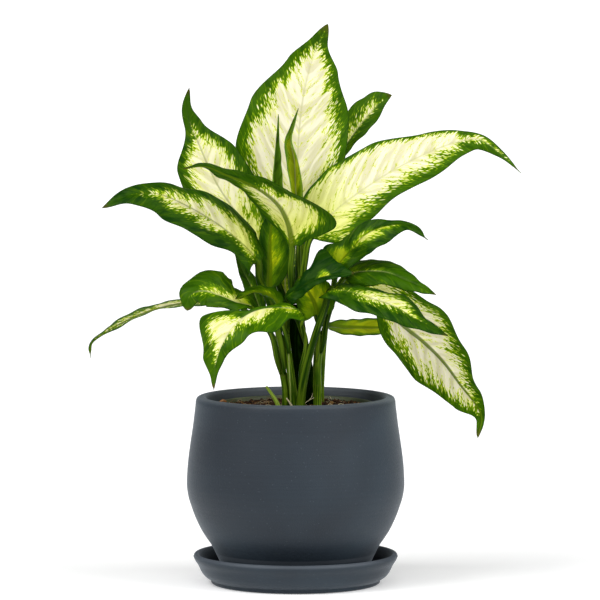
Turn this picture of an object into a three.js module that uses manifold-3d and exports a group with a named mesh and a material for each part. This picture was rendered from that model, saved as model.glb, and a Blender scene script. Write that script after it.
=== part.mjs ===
// A potted dieffenbachia: variegated leaves on sheathed stems, in a nursery pot inside a glazed outer pot
// that stands on its saucer. Millimetres, +Z up. The origin is the middle of the saucer's underside.
import * as THREE from 'three';
import { mergeVertices } from 'three/addons/utils/BufferGeometryUtils.js';
import Module from 'manifold-3d';

const wasm = await Module();
wasm.setup();

// Driving dimensions.
const GAP = 0.3;
const SOIL_LEVEL = 134;
const STEM_DEPTH = 24;
const BLADE_THICKNESS = 0.9;
// A stalk's foot is this share of its radius where it lies on a stem.
const FOOT_SHARE = 0.4;

const SAUCER_RIM_RADIUS = 77.8;
const SAUCER_FOOT_RADIUS = 64.3;
const SAUCER_FLOOR = 6.2;
const POT_BELLY_RADIUS = 82.7;
const POT_TOP = 142.7;
const POT_FLOOR = 12.5;
const POT_UNDERSIDE = 6.5;
const NURSERY_RIM_RADIUS = 60;
const NURSERY_FOOT_RADIUS = 44;
const NURSERY_TOP = 137.3;
const NURSERY_WALL = 1.4;
// How far the nursery pot's rolled rim stands out from its wall.
const NURSERY_ROLL = 2.2;
const STUB_RADIUS = [2.4, 1.1];
const ROUND_STEPS = 40;
const STEM_SIDES = 10;
const STEM_STEPS = 6;

// How finely a leaf is divided: around its section, along its stalk and along its blade.
const SECTION_SIDES = 10;
const STALK_STEPS = 4;
const BLADE_STEPS = 13;
// Half widths of a blade are given at these shares of its length.
const STATIONS = [0.06, 0.2, 0.4, 0.6, 0.8, 0.93];

const STEMS = {
  left: {
    radius: [3.2, 2.6],
    line: [[-7.5, -6, 134], [-7.5, -6, 146.5], [-10, -6, 163], [-13, -6, 179]],
  },
  front: {
    radius: [3.3, 2.8],
    line: [[-1, -10, 133], [-1.5, -10, 143.5], [-4.5, -9, 167], [-7.5, -8, 190]],
  },
  main: {
    radius: [10, 5.2],
    line: [[7.5, 7, 139], [7, 7, 150.5], [5, 8, 169.5], [2, 8, 188.5], [1, 8, 211.5]],
  },
  right: {
    radius: [3.5, 3.1],
    line: [[16.5, -5, 132.5], [16.5, -5, 143], [16.5, -5, 170.5], [19, -5, 189.5]],
  },
  back: {
    radius: [2.4, 2.2],
    line: [[19.5, 10, 138.5], [19.5, 10, 147.5], [21, 9, 175.5], [22.5, 9, 192]],
  },
};

const LEAVES = {
  top: {
    from: { stem: 'main', height: 206, bearing: 55 },
    stalk: [[5.5, 21, 243]], radius: [3, 2.6],
    rib: [
      [4, 24, 259.5], [2, 33, 293.5], [2, 40, 331.5], [6.5, 46, 371.5], [15, 49, 402], [24.5, 46, 423.5]
    ],
    left: [9, 34, 48, 40, 18.5, 6], right: [8, 30, 37, 36.5, 21.8, 5.8],
    widest: 0.47, round: 0.62,
    face: [[-0.1, -1, 0.25], [0.1, -1, 0.35]], fold: [14, 14], curl: [22, 22],
    wave: [1.5, 2.5], lobe: 0.1,
  },
  upper_left: {
    from: { stem: 'main', height: 200, bearing: 150 },
    stalk: [[-12, 13, 224]], radius: [2.8, 2.4],
    rib: [
      [-21, 14, 247.5], [-38, 18, 271.5], [-58.5, 23, 300], [-72, 26, 328.5], [-82.5, 27, 357],
      [-81, 25, 376]
    ],
    left: [8, 18, 25.7, 24, 5, 3], right: [8, 19, 28, 25.3, 9, 2.5],
    widest: 0.45, round: 0.62,
    face: [[0.15, -1, 0.3], [0, -1, 0.3]], fold: [16, 16], curl: [25, 25],
    wave: [1.2, 2], lobe: 0.25,
  },
  arching: {
    from: { stem: 'main', height: 182, bearing: 205 },
    stalk: [[-3, -6, 224], [-3.5, -11, 241]], radius: [2.8, 2.3],
    rib: [
      [-2.5, -14, 257], [-5.5, -22, 275], [-12.5, -31, 289.5], [-24.5, -40, 301], [-38.5, -48, 309],
      [-52.5, -56, 315], [-68, -62, 321.5], [-84, -66, 319.5]
    ],
    left: [11, 43, 21, 14, 9, 6], right: [8, 22, 24, 17.5, 10, 5],
    widest: 0.36, round: 0.62,
    face: [[0.35, 0.85, 0.35], [0.1, 0.5, 0.85]], fold: [8, 30], curl: [35, 20],
    wave: [1.2, 2], lobe: 0.26,
  },
  left: {
    from: { stem: 'left', height: 160, bearing: 292 },
    stalk: [[-11.5, -12, 186.5], [-19.5, -11.5, 215], [-27, -12.5, 232]], radius: [2.4, 3],
    rib: [
      [-28.5, -15, 246], [-39.5, -22, 259.5], [-58.5, -30, 275.5], [-82, -38, 290], [-103, -43, 299],
      [-124, -47, 298.5], [-145, -49, 289]
    ],
    left: [11, 12.8, 20.5, 20.5, 11, 4], right: [13, 23, 23, 16, 8, 5],
    widest: 0.42, round: 0.62,
    face: [[-0.3, -0.6, 0.7], [-0.1, -0.8, 0.6]], fold: [22, 12], curl: [50, 40],
    wave: [2, 2.5], lobe: 0.5,
  },
  inner: {
    from: { stem: 'front', height: 180, bearing: 80 },
    stalk: [[-15.5, -3, 210]], radius: [2.2, 2],
    rib: [[-19.5, -2, 223.5], [-19.5, -2, 240.5], [-19.5, -2, 259.5], [-18, -4, 275.5], [-16.5, -8, 285]],
    left: [7, 13, 17, 15, 9, 4], right: [5, 7, 8, 9, 7, 3],
    widest: 0.45, round: 0.62,
    face: [[0.05, 1, -0.2], [0, 1, -0.3]], fold: [22, 22], curl: [15, 15],
    wave: [0.8, 1.5], lobe: 0.1,
  },
  spike: {
    over: { stem: 'main', aside: [-2.5, -1] },
    stalk: [[-6.5, 5, 244.5]], radius: [2.2, 2],
    rib: [[-14, 6, 272.5], [-17, 7, 299], [-15, 7, 325.5], [-13, 6, 356.5]],
    left: [7, 10, 10, 7, 3, 1.5], right: [7, 10, 10, 7, 3, 1.5],
    widest: 0.35, round: 0.4,
    face: [[0.6, -1, 0.1], [0.2, -1, 0.1]], fold: [50, 50], curl: [-35, -35],
    wave: [0, 1], lobe: 0,
  },
  unfurling: {
    over: { stem: 'main', aside: [1, 3] },
    stalk: [[2, 8, 244]], radius: [2.2, 2],
    rib: [[2, 3, 275], [0, 5, 299], [-1, 7, 321.5], [-3.5, 8, 337], [-1, 8, 348], [2, 7, 361]],
    left: [7, 10, 11.5, 9, 4, 1.5], right: [6, 9, 12, 11, 5, 2],
    widest: 0.42, round: 0.62,
    face: [[0.5, -1, 0.1], [-0.5, -1, 0.1]], fold: [40, 50], curl: [-30, -50],
    wave: [0.5, 1], lobe: 0,
  },
  right: {
    from: { stem: 'main', height: 196, bearing: 300 },
    stalk: [[5, 0, 228.5], [7, 1, 244.5]], radius: [2.8, 2.5],
    rib: [
      [11, 4, 262.5], [28.5, 9, 281.5], [49, 15, 297], [75.5, 22, 313.5], [102.5, 28, 326.5],
      [124, 31, 334], [140.5, 31, 335.5], [155, 28, 326], [171.5, 22, 311]
    ],
    left: [20, 30, 28, 17.5, 4.7, 2.3], right: [21, 22.5, 19.5, 19, 7.5, 1.5],
    widest: 0.4, round: 0.62,
    face: [[-0.3, -1, 0.3], [-0.1, -1, 0.6]], fold: [12, 12], curl: [25, 25],
    wave: [1.5, 3], lobe: 0.05,
  },
  back_right: {
    from: { stem: 'back', height: 182, bearing: 150 },
    stalk: [[9.5, 26, 221], [6.5, 32, 237.5], [8.5, 38, 256.5]], radius: [2.2, 1.8],
    rib: [[23.5, 50, 300], [34, 57, 322.5], [48, 65, 343.5], [62.5, 71, 359.5], [74, 73, 368]],
    left: [7, 11, 13.5, 14, 13, 8.5], right: [1.5, 2.5, 5.5, 8.5, 7.5, 3],
    widest: 0.45, round: 0.62,
    face: [[-0.2, -1, 0.4], [0, -1, 0.6]], fold: [15, 15], curl: [20, 20],
    wave: [1.2, 2], lobe: 0.25,
  },
  right_mid: {
    from: { stem: 'right', height: 176, bearing: 300 },
    stalk: [[23, -9, 200], [27, -9, 214.5]], radius: [2.4, 2.2],
    rib: [
      [32, -13, 242], [42, -16, 255], [52.5, -19, 266.5], [68, -22, 273.5], [85.5, -24, 274],
      [100, -24, 263]
    ],
    left: [19, 13, 11, 5.5, 3, 1.5], right: [9, 12, 19, 14, 4.5, 1.2],
    widest: 0.35, round: 0.62,
    face: [[-0.4, -0.7, 0.6], [-0.1, -0.8, 0.6]], fold: [15, 15], curl: [25, 25],
    wave: [1.5, 2.5], lobe: 0.4,
  },
  right_low: {
    from: { stem: 'right', height: 176, bearing: 60 },
    stalk: [[23.5, -1, 199], [29.5, -4, 220.5]], radius: [2.2, 2.2],
    rib: [
      [38, -8, 234.5], [54, -17, 239], [69.5, -25, 238.5], [84.5, -31, 233], [96.5, -35, 228],
      [105.5, -38, 223]
    ],
    left: [14, 17, 18, 11.5, 6.5, 3], right: [8, 14, 15, 11, 7, 4],
    widest: 0.42, round: 0.62,
    face: [[-0.2, -0.6, 0.8], [0.2, -0.6, 0.8]], fold: [15, 15], curl: [50, 50],
    wave: [1.2, 2], lobe: 0.25,
  },
  dark_front: {
    from: { stem: 'main', height: 171, bearing: 300 },
    stalk: [[5.5, -2, 188.5], [0, -9, 204.5]], radius: [1.6, 1.5],
    rib: [[-7, -17.5, 219], [2.5, -24, 226.5], [14, -30, 233.5], [28, -35, 237.5], [44.5, -39, 239.5]],
    left: [3, 4, 11, 25, 10, 3], right: [9, 8, 6, 4.5, 3, 2],
    widest: 0.45, round: 0.62,
    face: [[-0.3, -0.75, 0.5], [0, -0.8, 0.6]], fold: [12, 12], curl: [20, 20],
    wave: [0.6, 1.5], lobe: 0,
  },
  hanging_small: {
    from: { stem: 'right', height: 170, bearing: 262 },
    stalk: [[17.5, -11, 192.5]], radius: [2, 1.5],
    rib: [[16.5, -12.5, 206], [14.5, -13, 214.5], [8.5, -13, 225.5], [2.5, -13, 235]],
    left: [7, 14, 19, 17, 11, 4], right: [12, 14, 14, 13, 10, 5],
    widest: 0.4, round: 0.62,
    face: [[0.2, 1, 0.2], [0.2, 1, 0.3]], fold: [10, 10], curl: [30, 30],
    wave: [2, 2], lobe: 0.6,
  },
  right_front: {
    foot: [3.5, -19, 134],
    stalk: [[5.5, -19, 153], [12.5, -18, 183], [22, -19, 211.5]], radius: [3.8, 2.8],
    rib: [
      [26.5, -24, 225.5], [40, -38, 225.5], [56, -49, 221.5], [73.5, -58, 216], [93, -64, 205.5],
      [114, -68, 194.5]
    ],
    left: [8, 13, 20, 24, 10.5, 5.5], right: [11, 11.5, 17, 15, 8, 4],
    widest: 0.4, round: 0.62,
    face: [[-0.1, -0.5, 0.85], [0.3, -0.5, 0.8]], fold: [10, 10], curl: [45, 45],
    wave: [1, 2], lobe: 1.1,
  },
  right_hanging: {
    from: { stem: 'back', height: 182, bearing: 95 },
    stalk: [[29, 11, 215]], radius: [2.2, 2],
    rib: [
      [35.5, 9, 227], [46, 10, 229.5], [65.5, 13, 214], [82, 17, 195.5], [97, 20, 183],
      [112.5, 22, 167.5], [125.5, 23, 150], [142, 20, 126], [139, 14, 109]
    ],
    left: [7, 9, 23.5, 31, 16.5, 4], right: [9, 27, 36, 24.5, 11, 2],
    widest: 0.5, round: 0.62,
    face: [[0.4, 0.85, 0.4], [0.5, 0.8, 0.2]], fold: [6, 6], curl: [20, 20],
    wave: [1.2, 2], lobe: 0.25,
  },
  back_low: {
    from: { stem: 'back', height: 160, bearing: 120 },
    stalk: [[20, 20, 185]], radius: [2, 1.6],
    rib: [[23, 24, 194], [38.5, 36, 192.5], [55.5, 44, 191.5], [74, 50, 190], [89.5, 54, 185.5]],
    left: [4, 7.5, 8.5, 7.5, 6, 4], right: [3, 7, 8, 8, 5, 3],
    widest: 0.4, round: 0.62,
    face: [[0.1, 0.9, 0.5], [0.1, 0.9, 0.5]], fold: [10, 10], curl: [20, 20],
    wave: [0.8, 1.5], lobe: 0.25,
  },
  front_left: {
    from: { leaf: 'right_front', height: 152, bearing: 125 },
    stalk: [[8, -13, 182.5], [5, -20, 198]], radius: [2.2, 1.8],
    rib: [
      [2, -29, 210], [-9.5, -38, 213], [-24.5, -50, 213.5], [-37, -60, 209.5], [-47.5, -68, 200.5],
      [-55.5, -72, 187], [-60, -73, 171], [-61, -70, 154.5]
    ],
    left: [15.5, 17.5, 27, 16.5, 4.5, 2], right: [9, 7, 2, 31.5, 13, 2.3],
    widest: 0.48, round: 0.62,
    face: [[-0.1, -0.5, 0.85], [-0.5, -0.85, 0.2]], fold: [10, 10], curl: [30, 30],
    wave: [2.5, 2.2], lobe: 0.25,
  },
  left_mid: {
    from: { stem: 'left', height: 160, bearing: 240 },
    stalk: [[-17.5, -14, 188], [-25, -16, 203.5]], radius: [2.1, 2],
    rib: [
      [-33, -16, 212], [-45, -26, 216.5], [-57, -31.5, 222], [-69.5, -34, 225.5], [-79.5, -37, 222.5],
      [-81.5, -38, 211]
    ],
    left: [6, 8, 9.5, 14, 13, 6], right: [18, 24, 20, 19, 11.5, 4.5],
    widest: 0.5, round: 0.62,
    face: [[0, -0.6, 0.8], [-0.4, -0.8, 0.4]], fold: [15, 15], curl: [30, 30],
    wave: [1.5, 2], lobe: 0.25,
  },
  left_long: {
    from: { stem: 'left', height: 168, bearing: 95 },
    stalk: [[-16.5, 5, 184], [-26, 14, 198.5]], radius: [2.2, 1.6],
    rib: [
      [-48.5, 14, 211.5], [-69, 20, 213.5], [-88, 24, 212], [-109.5, 28, 206.5], [-129, 30, 198.5],
      [-145, 30, 189.5], [-156.5, 30, 180], [-157, 29, 169]
    ],
    left: [7, 13, 12.5, 8.5, 5.5, 2], right: [7, 13, 12.5, 8.5, 5.5, 2],
    widest: 0.35, round: 0.62,
    face: [[0, 0.3, 0.95], [-0.1, 0.3, 0.9]], fold: [8, 8], curl: [15, 15],
    wave: [1.2, 2], lobe: 0.25,
  },
  left_upright: {
    from: { stem: 'left', height: 170, bearing: 60 },
    stalk: [[-18, 2, 189.5]], radius: [2, 1.6],
    rib: [
      [-26, 5, 206], [-30.5, 6, 217.5], [-35, 7, 228], [-39.5, 8, 236], [-43, 8.5, 243.5],
      [-46, 9, 249.5]
    ],
    left: [4, 6, 6, 4.5, 2.5, 1], right: [4.5, 7, 7.5, 6, 4, 2],
    widest: 0.4, round: 0.62,
    face: [[-0.3, -1, 0.3], [-0.2, -1, 0.3]], fold: [20, 20], curl: [20, 20],
    wave: [0.8, 1.5], lobe: 0.25,
  },
  curled: {
    from: { stem: 'front', height: 176, bearing: 278 },
    stalk: [[-10.5, -16, 200.5]], radius: [2, 1.5],
    rib: [
      [-12.5, -18, 213], [-16.5, -22, 220], [-23, -25, 224], [-31.5, -27, 225], [-38, -28, 222.5],
      [-45.5, -28, 219]
    ],
    left: [4, 6.5, 8, 7, 4.5, 3], right: [4, 6.5, 8, 7, 4.5, 3],
    widest: 0.4, round: 0.62,
    face: [[0.1, 0.5, 0.85], [0, 0.5, 0.85]], fold: [20, 20], curl: [20, 20],
    wave: [0.5, 1.5], lobe: 0.25,
  },
  behind_inner: {
    from: { stem: 'main', height: 168, bearing: 155 },
    stalk: [[-5, 20, 197.5]], radius: [2.2, 1.8],
    rib: [[-7.5, 23, 210], [-8, 26, 225], [-8, 30, 238], [-6.5, 35, 251]],
    left: [5, 8, 9, 8, 5, 3], right: [5, 8, 9, 8, 5, 3],
    widest: 0.4, round: 0.62,
    face: [[0.1, -1, 0.3], [0, -1, 0.4]], fold: [20, 20], curl: [20, 20],
    wave: [1, 1.5], lobe: 0.25,
  },
  rear: {
    from: { stem: 'main', height: 170, bearing: 110 },
    stalk: [[-3, 28, 202]], radius: [2.4, 2],
    rib: [[-7.5, 44, 223.5], [-10, 64, 239.5], [-11.5, 88, 245.5], [-12, 112, 237.5], [-13, 130, 219]],
    left: [8, 14, 18, 17, 11, 5], right: [8, 14, 18, 17, 11, 5],
    widest: 0.42, round: 0.62,
    face: [[0, -0.3, 0.95], [0, 0.9, 0.4]], fold: [15, 15], curl: [30, 30],
    wave: [1.5, 2], lobe: 0.25,
  },
  rear_tall: {
    from: { stem: 'main', height: 182, bearing: 80 },
    stalk: [[5.5, 32, 220.5]], radius: [2.5, 2.2],
    rib: [[7, 46, 252], [11, 64, 278.5], [15.5, 82, 308], [19.5, 96, 333.5], [23.5, 104, 355]],
    left: [5, 11, 21, 22, 14, 6], right: [5, 11, 21, 22, 14, 6],
    widest: 0.42, round: 0.62,
    face: [[0, -0.8, 0.5], [0, -0.6, 0.8]], fold: [15, 15], curl: [30, 30],
    wave: [1.5, 2], lobe: 0.25,
  },
};

const radians = THREE.MathUtils.degToRad;

function material(colour, roughness) {
  return new THREE.MeshStandardMaterial({ color: colour, roughness, metalness: 0 });
}

function slateGlaze() {
  return material(0x474f5a, 0.55);
}

function nurseryPlastic() {
  return material(0x5d6b4c, 0.6);
}

function pottingSoil() {
  return material(0x2a1f18, 0.95);
}

function stemGreen() {
  return material(0x4f7d1c, 0.45);
}

function leafGreen() {
  return material(0x9fb45a, 0.4);
}

function youngGreen() {
  return material(0x3f6f12, 0.4);
}

function shootGreen() {
  return material(0x8fae3c, 0.45);
}

function smoothStep(from, to, value) {
  const share = THREE.MathUtils.clamp((value - from) / (to - from), 0, 1);
  return share * share * (3 - 2 * share);
}

// A closed solid's positions alone, with its shared corners merged.
function bareCopy(geometry) {
  const copy = geometry.clone();
  copy.deleteAttribute('normal');
  copy.deleteAttribute('uv');
  return mergeVertices(copy, 1e-4);
}

function toSolid(geometry) {
  const merged = bareCopy(geometry);
  const vertProperties = new Float32Array(merged.attributes.position.array);
  const triVerts = new Uint32Array(merged.index.array);
  return new wasm.Manifold(new wasm.Mesh({ numProp: 3, vertProperties, triVerts }));
}

function toGeometry(solid) {
  const mesh = solid.getMesh();
  const geometry = new THREE.BufferGeometry();
  geometry.setAttribute('position', new THREE.BufferAttribute(new Float32Array(mesh.vertProperties), 3));
  geometry.setIndex(new THREE.BufferAttribute(new Uint32Array(mesh.triVerts), 1));
  geometry.computeVertexNormals();
  return geometry;
}

// A turned solid standing on the Z axis, from [radius, height] pairs.
function turned(profile, steps = ROUND_STEPS) {
  const points = profile.map(([radius, height]) => new THREE.Vector2(radius, height));
  return new THREE.LatheGeometry(points, steps).rotateX(Math.PI / 2);
}

// A smooth run of [radius, height] pairs through the ones given.
function smoothProfile(pairs, count) {
  const curve = new THREE.SplineCurve(pairs.map(([radius, height]) => new THREE.Vector2(radius, height)));
  return curve.getPoints(count).map((point) => [point.x, point.y]);
}

function saucerGeometry() {
  const foot = [[0, 0], [SAUCER_FOOT_RADIUS - 0.7, 0], [SAUCER_FOOT_RADIUS, 0.8], [SAUCER_FOOT_RADIUS, 2.4]];
  const wall = [[65.2, 3], [68.7, 5.2], [71.1, 7.8], [72.7, 10.7], [74.2, 14], [76.6, 17.6]];
  const rim = [[SAUCER_RIM_RADIUS, 20.3], [77, 22.2], [75.4, 22.8], [73.8, 22]];
  const inside = [[70.6, 16], [68.2, 9.5], [64, 6.5]];
  return turned([
    ...foot,
    ...smoothProfile(wall, 5),
    ...smoothProfile(rim, 4),
    ...smoothProfile(inside, 3),
    [0, SAUCER_FLOOR],
  ]);
}

function potGeometry() {
  const foot = [[0, POT_UNDERSIDE], [51.5, POT_UNDERSIDE], [53, POT_UNDERSIDE + 0.8]];
  const belly = [
    [54.2, 10], [57, 15], [60.4, 22], [64.3, 29.7], [68, 35], [71.8, 41.1], [74.8, 47.2], [77.4, 53.3],
    [79.5, 59.4], [81.4, 65.5], [POT_BELLY_RADIUS, 74], [82.5, 84], [81.8, 93], [80.7, 102], [79.4, 111],
    [78, 120.3], [76.9, 129.4], [76.1, 136],
  ];
  const lip = [
    [75.9, POT_TOP - 3.6], [74.8, POT_TOP - 1.1], [71.8, POT_TOP], [69.2, POT_TOP - 0.4],
    [67.4, POT_TOP - 2.4],
  ];
  const inside = [[66.8, 134], [67.4, 120], [68.6, 100], [70, 76], [66, 52], [58, 34], [50, 18]];
  return turned([
    ...foot,
    ...smoothProfile(belly, 15),
    ...smoothProfile(lip, 5),
    ...smoothProfile(inside, 7),
    [46, POT_FLOOR],
    [0, POT_FLOOR],
  ]);
}

// The thin nursery pot, with a rolled rim, that stands inside the outer pot.
function nurseryPotGeometry() {
  const foot = POT_FLOOR + GAP;
  const rim = NURSERY_RIM_RADIUS;
  const neck = rim - NURSERY_ROLL;
  return turned([
    [0, foot], [NURSERY_FOOT_RADIUS, foot], [neck, NURSERY_TOP - 5], [rim, NURSERY_TOP - 4.6],
    [rim, NURSERY_TOP - 0.4], [rim - 0.6, NURSERY_TOP], [neck - 0.4, NURSERY_TOP],
    [neck - NURSERY_WALL, NURSERY_TOP - 5],
    [NURSERY_FOOT_RADIUS - NURSERY_WALL, foot + NURSERY_WALL], [0, foot + NURSERY_WALL],
  ]);
}

// How far the soil's heaped and uneven top stands above its plain one.
function soilHeap(x, y) {
  const heap = 2.4 * Math.exp(-((x - 27) ** 2 + (y - 12) ** 2) / 130);
  return heap + 0.5 * Math.sin(x * 0.31 + 1) * Math.cos(y * 0.27);
}

// The soil: a plug that fills the nursery pot, with a gently heaped top.
function soilBlank() {
  const bottom = POT_FLOOR + GAP + NURSERY_WALL + GAP;
  const bottomRadius = NURSERY_FOOT_RADIUS - NURSERY_WALL - GAP;
  const topRadius = NURSERY_RIM_RADIUS - NURSERY_ROLL - NURSERY_WALL - GAP - 0.4;
  const geometry = turned([
    [0, bottom], [bottomRadius, bottom], [topRadius, SOIL_LEVEL + 0.3], [topRadius - 1.2, SOIL_LEVEL + 0.9],
    [48, SOIL_LEVEL + 0.8], [38, SOIL_LEVEL + 0.5], [28, SOIL_LEVEL + 0.4], [18, SOIL_LEVEL + 0.5],
    [9, SOIL_LEVEL + 0.6], [0, SOIL_LEVEL + 0.7],
  ], 30);
  const place = geometry.attributes.position;
  for (let i = 0; i < place.count; i += 1) {
    if (place.getZ(i) > SOIL_LEVEL - 3) {
      place.setZ(i, place.getZ(i) + soilHeap(place.getX(i), place.getY(i)));
    }
  }
  return geometry;
}

// A cylinder bent so that each corner goes where shape(angle, share, atMiddle) says.
function bentCylinder(sides, steps, shape) {
  const geometry = new THREE.CylinderGeometry(1, 1, 1, sides, steps);
  const place = geometry.attributes.position;
  for (let i = 0; i < place.count; i += 1) {
    const share = place.getY(i) + 0.5;
    const atMiddle = Math.hypot(place.getX(i), place.getZ(i)) < 0.5;
    const angle = Math.atan2(place.getX(i), place.getZ(i));
    const point = shape(angle, share, atMiddle);
    place.setXYZ(i, point.x, point.y, point.z);
  }
  return geometry;
}

// A curve through points, read by distance along it in millimetres.
class Line {
  constructor(points) {
    const vectors = points.map((point) => (point.isVector3 ? point : new THREE.Vector3(...point)));
    this.curve = new THREE.CatmullRomCurve3(vectors, false, 'centripetal');
    this.perSpan = 40;
    this.curve.arcLengthDivisions = (vectors.length - 1) * this.perSpan;
    this.lengths = this.curve.getLengths();
    this.total = this.lengths[this.lengths.length - 1];
  }

  // Distance from the start to one of the given points.
  distanceOf(index) {
    return this.lengths[index * this.perSpan];
  }

  at(distance) {
    return this.curve.getPointAt(THREE.MathUtils.clamp(distance / this.total, 0, 1));
  }

  // The direction of the curve, over a short stretch either side.
  along(distance) {
    const reach = 0.8;
    return this.at(distance + reach).sub(this.at(distance - reach)).normalize();
  }
}

// A stem's centre line, carried straight on down below the soil.
function stemLine(stem) {
  const [x, y, z] = stem.line[0];
  return new Line([[x, y, z - STEM_DEPTH], ...stem.line]);
}

// The point of a line at a height, with its share of the line's length.
function pointAtHeight(line, height) {
  let low = 0;
  let high = line.total;
  for (let i = 0; i < 30; i += 1) {
    const middle = (low + high) / 2;
    if (line.at(middle).z < height) {
      low = middle;
    } else {
      high = middle;
    }
  }
  return { point: line.at(low), share: low / line.total };
}

// What a stalk grows from at a height: the middle there and the radius.
function carrierAt(from, height) {
  if (from.leaf) {
    const leaf = LEAVES[from.leaf];
    const { point, share } = pointAtHeight(new Line([...stalkStart(leaf), ...leaf.stalk]), height);
    return { point, radius: stalkRadiusAt(leaf, share) };
  }
  const stem = STEMS[from.stem];
  const { point, share } = pointAtHeight(stemLine(stem), height);
  return { point, radius: THREE.MathUtils.lerp(stem.radius[0], stem.radius[1], share) };
}

// A stalk's radius at a share of its length: slim where its foot lies on a stem, then full, then narrowing.
function stalkRadiusAt(leaf, share) {
  const full = THREE.MathUtils.lerp(leaf.radius[0], leaf.radius[1], Math.min(share * 1.6, 1));
  const slim = leaf.from ? THREE.MathUtils.lerp(FOOT_SHARE, 1, Math.min(share * 4, 1)) : 1;
  return full * slim;
}

// A round stem or stalk along a line, or its first reach, its radius running through the pair.
function roundStem(line, radius, sides, steps, extra = 0, reach = line.total) {
  const aside = new THREE.Vector3(0, -1, 0);
  return bentCylinder(sides, steps, (angle, share, atMiddle) => {
    const distance = share * reach;
    const centre = line.at(distance);
    const along = line.along(distance);
    const normal = aside.clone().addScaledVector(along, -aside.dot(along)).normalize();
    const across = new THREE.Vector3().crossVectors(along, normal);
    const size = atMiddle ? 0 : THREE.MathUtils.lerp(radius[0], radius[1], share) + extra;
    const end = share === 0 ? -extra : share === 1 ? extra : 0;
    return centre
      .addScaledVector(normal, size * Math.cos(angle))
      .addScaledVector(across, size * Math.sin(angle))
      .addScaledVector(along, end);
  });
}

// Where a leaf's stalk starts, as the first points of its line.
function stalkStart(leaf) {
  if (leaf.foot) {
    const foot = new THREE.Vector3(...leaf.foot);
    return [foot.clone().setZ(foot.z - STEM_DEPTH), foot];
  }
  if (leaf.over) {
    const stem = STEMS[leaf.over.stem];
    const top = new THREE.Vector3(...stem.line[stem.line.length - 1]);
    const [aside, back] = leaf.over.aside;
    return [new THREE.Vector3(top.x + aside, top.y + back, top.z + GAP + 0.4)];
  }
  const { height, bearing } = leaf.from;
  const away = new THREE.Vector3(Math.cos(radians(bearing)), Math.sin(radians(bearing)), 0);
  const lower = carrierAt(leaf.from, height);
  const upper = carrierAt(leaf.from, height + 9);
  const reach = lower.radius + leaf.radius[0] + GAP;
  const footReach = lower.radius + FOOT_SHARE * leaf.radius[0] + GAP;
  return [lower.point.addScaledVector(away, footReach), upper.point.addScaledVector(away, reach + 0.2)];
}

// A leaf's centre line, from its foot up its stalk and along its rib to the tip.
function leafLine(leaf) {
  return new Line([...stalkStart(leaf), ...leaf.stalk, ...leaf.rib]);
}

// Half width of one side of a blade, from its widths at the stations.
function halfWidth(widths, leaf, share) {
  const { widest, round } = leaf;
  const taper = (round * (1 - widest)) / widest;
  const plain = (at) => (at / widest) ** round * ((1 - at) / (1 - widest)) ** taper;
  const factors = widths.map((width, i) => width / plain(STATIONS[i]));
  if (share <= 0 || share >= 1) {
    return 0;
  }
  const last = STATIONS.length - 1;
  let factor = share < STATIONS[0] ? factors[0] : factors[last];
  for (let i = 0; i < last; i += 1) {
    if (share >= STATIONS[i] && share < STATIONS[i + 1]) {
      const ease = smoothStep(STATIONS[i], STATIONS[i + 1], share);
      factor = THREE.MathUtils.lerp(factors[i], factors[i + 1], ease);
    }
  }
  return factor * plain(share);
}

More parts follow.
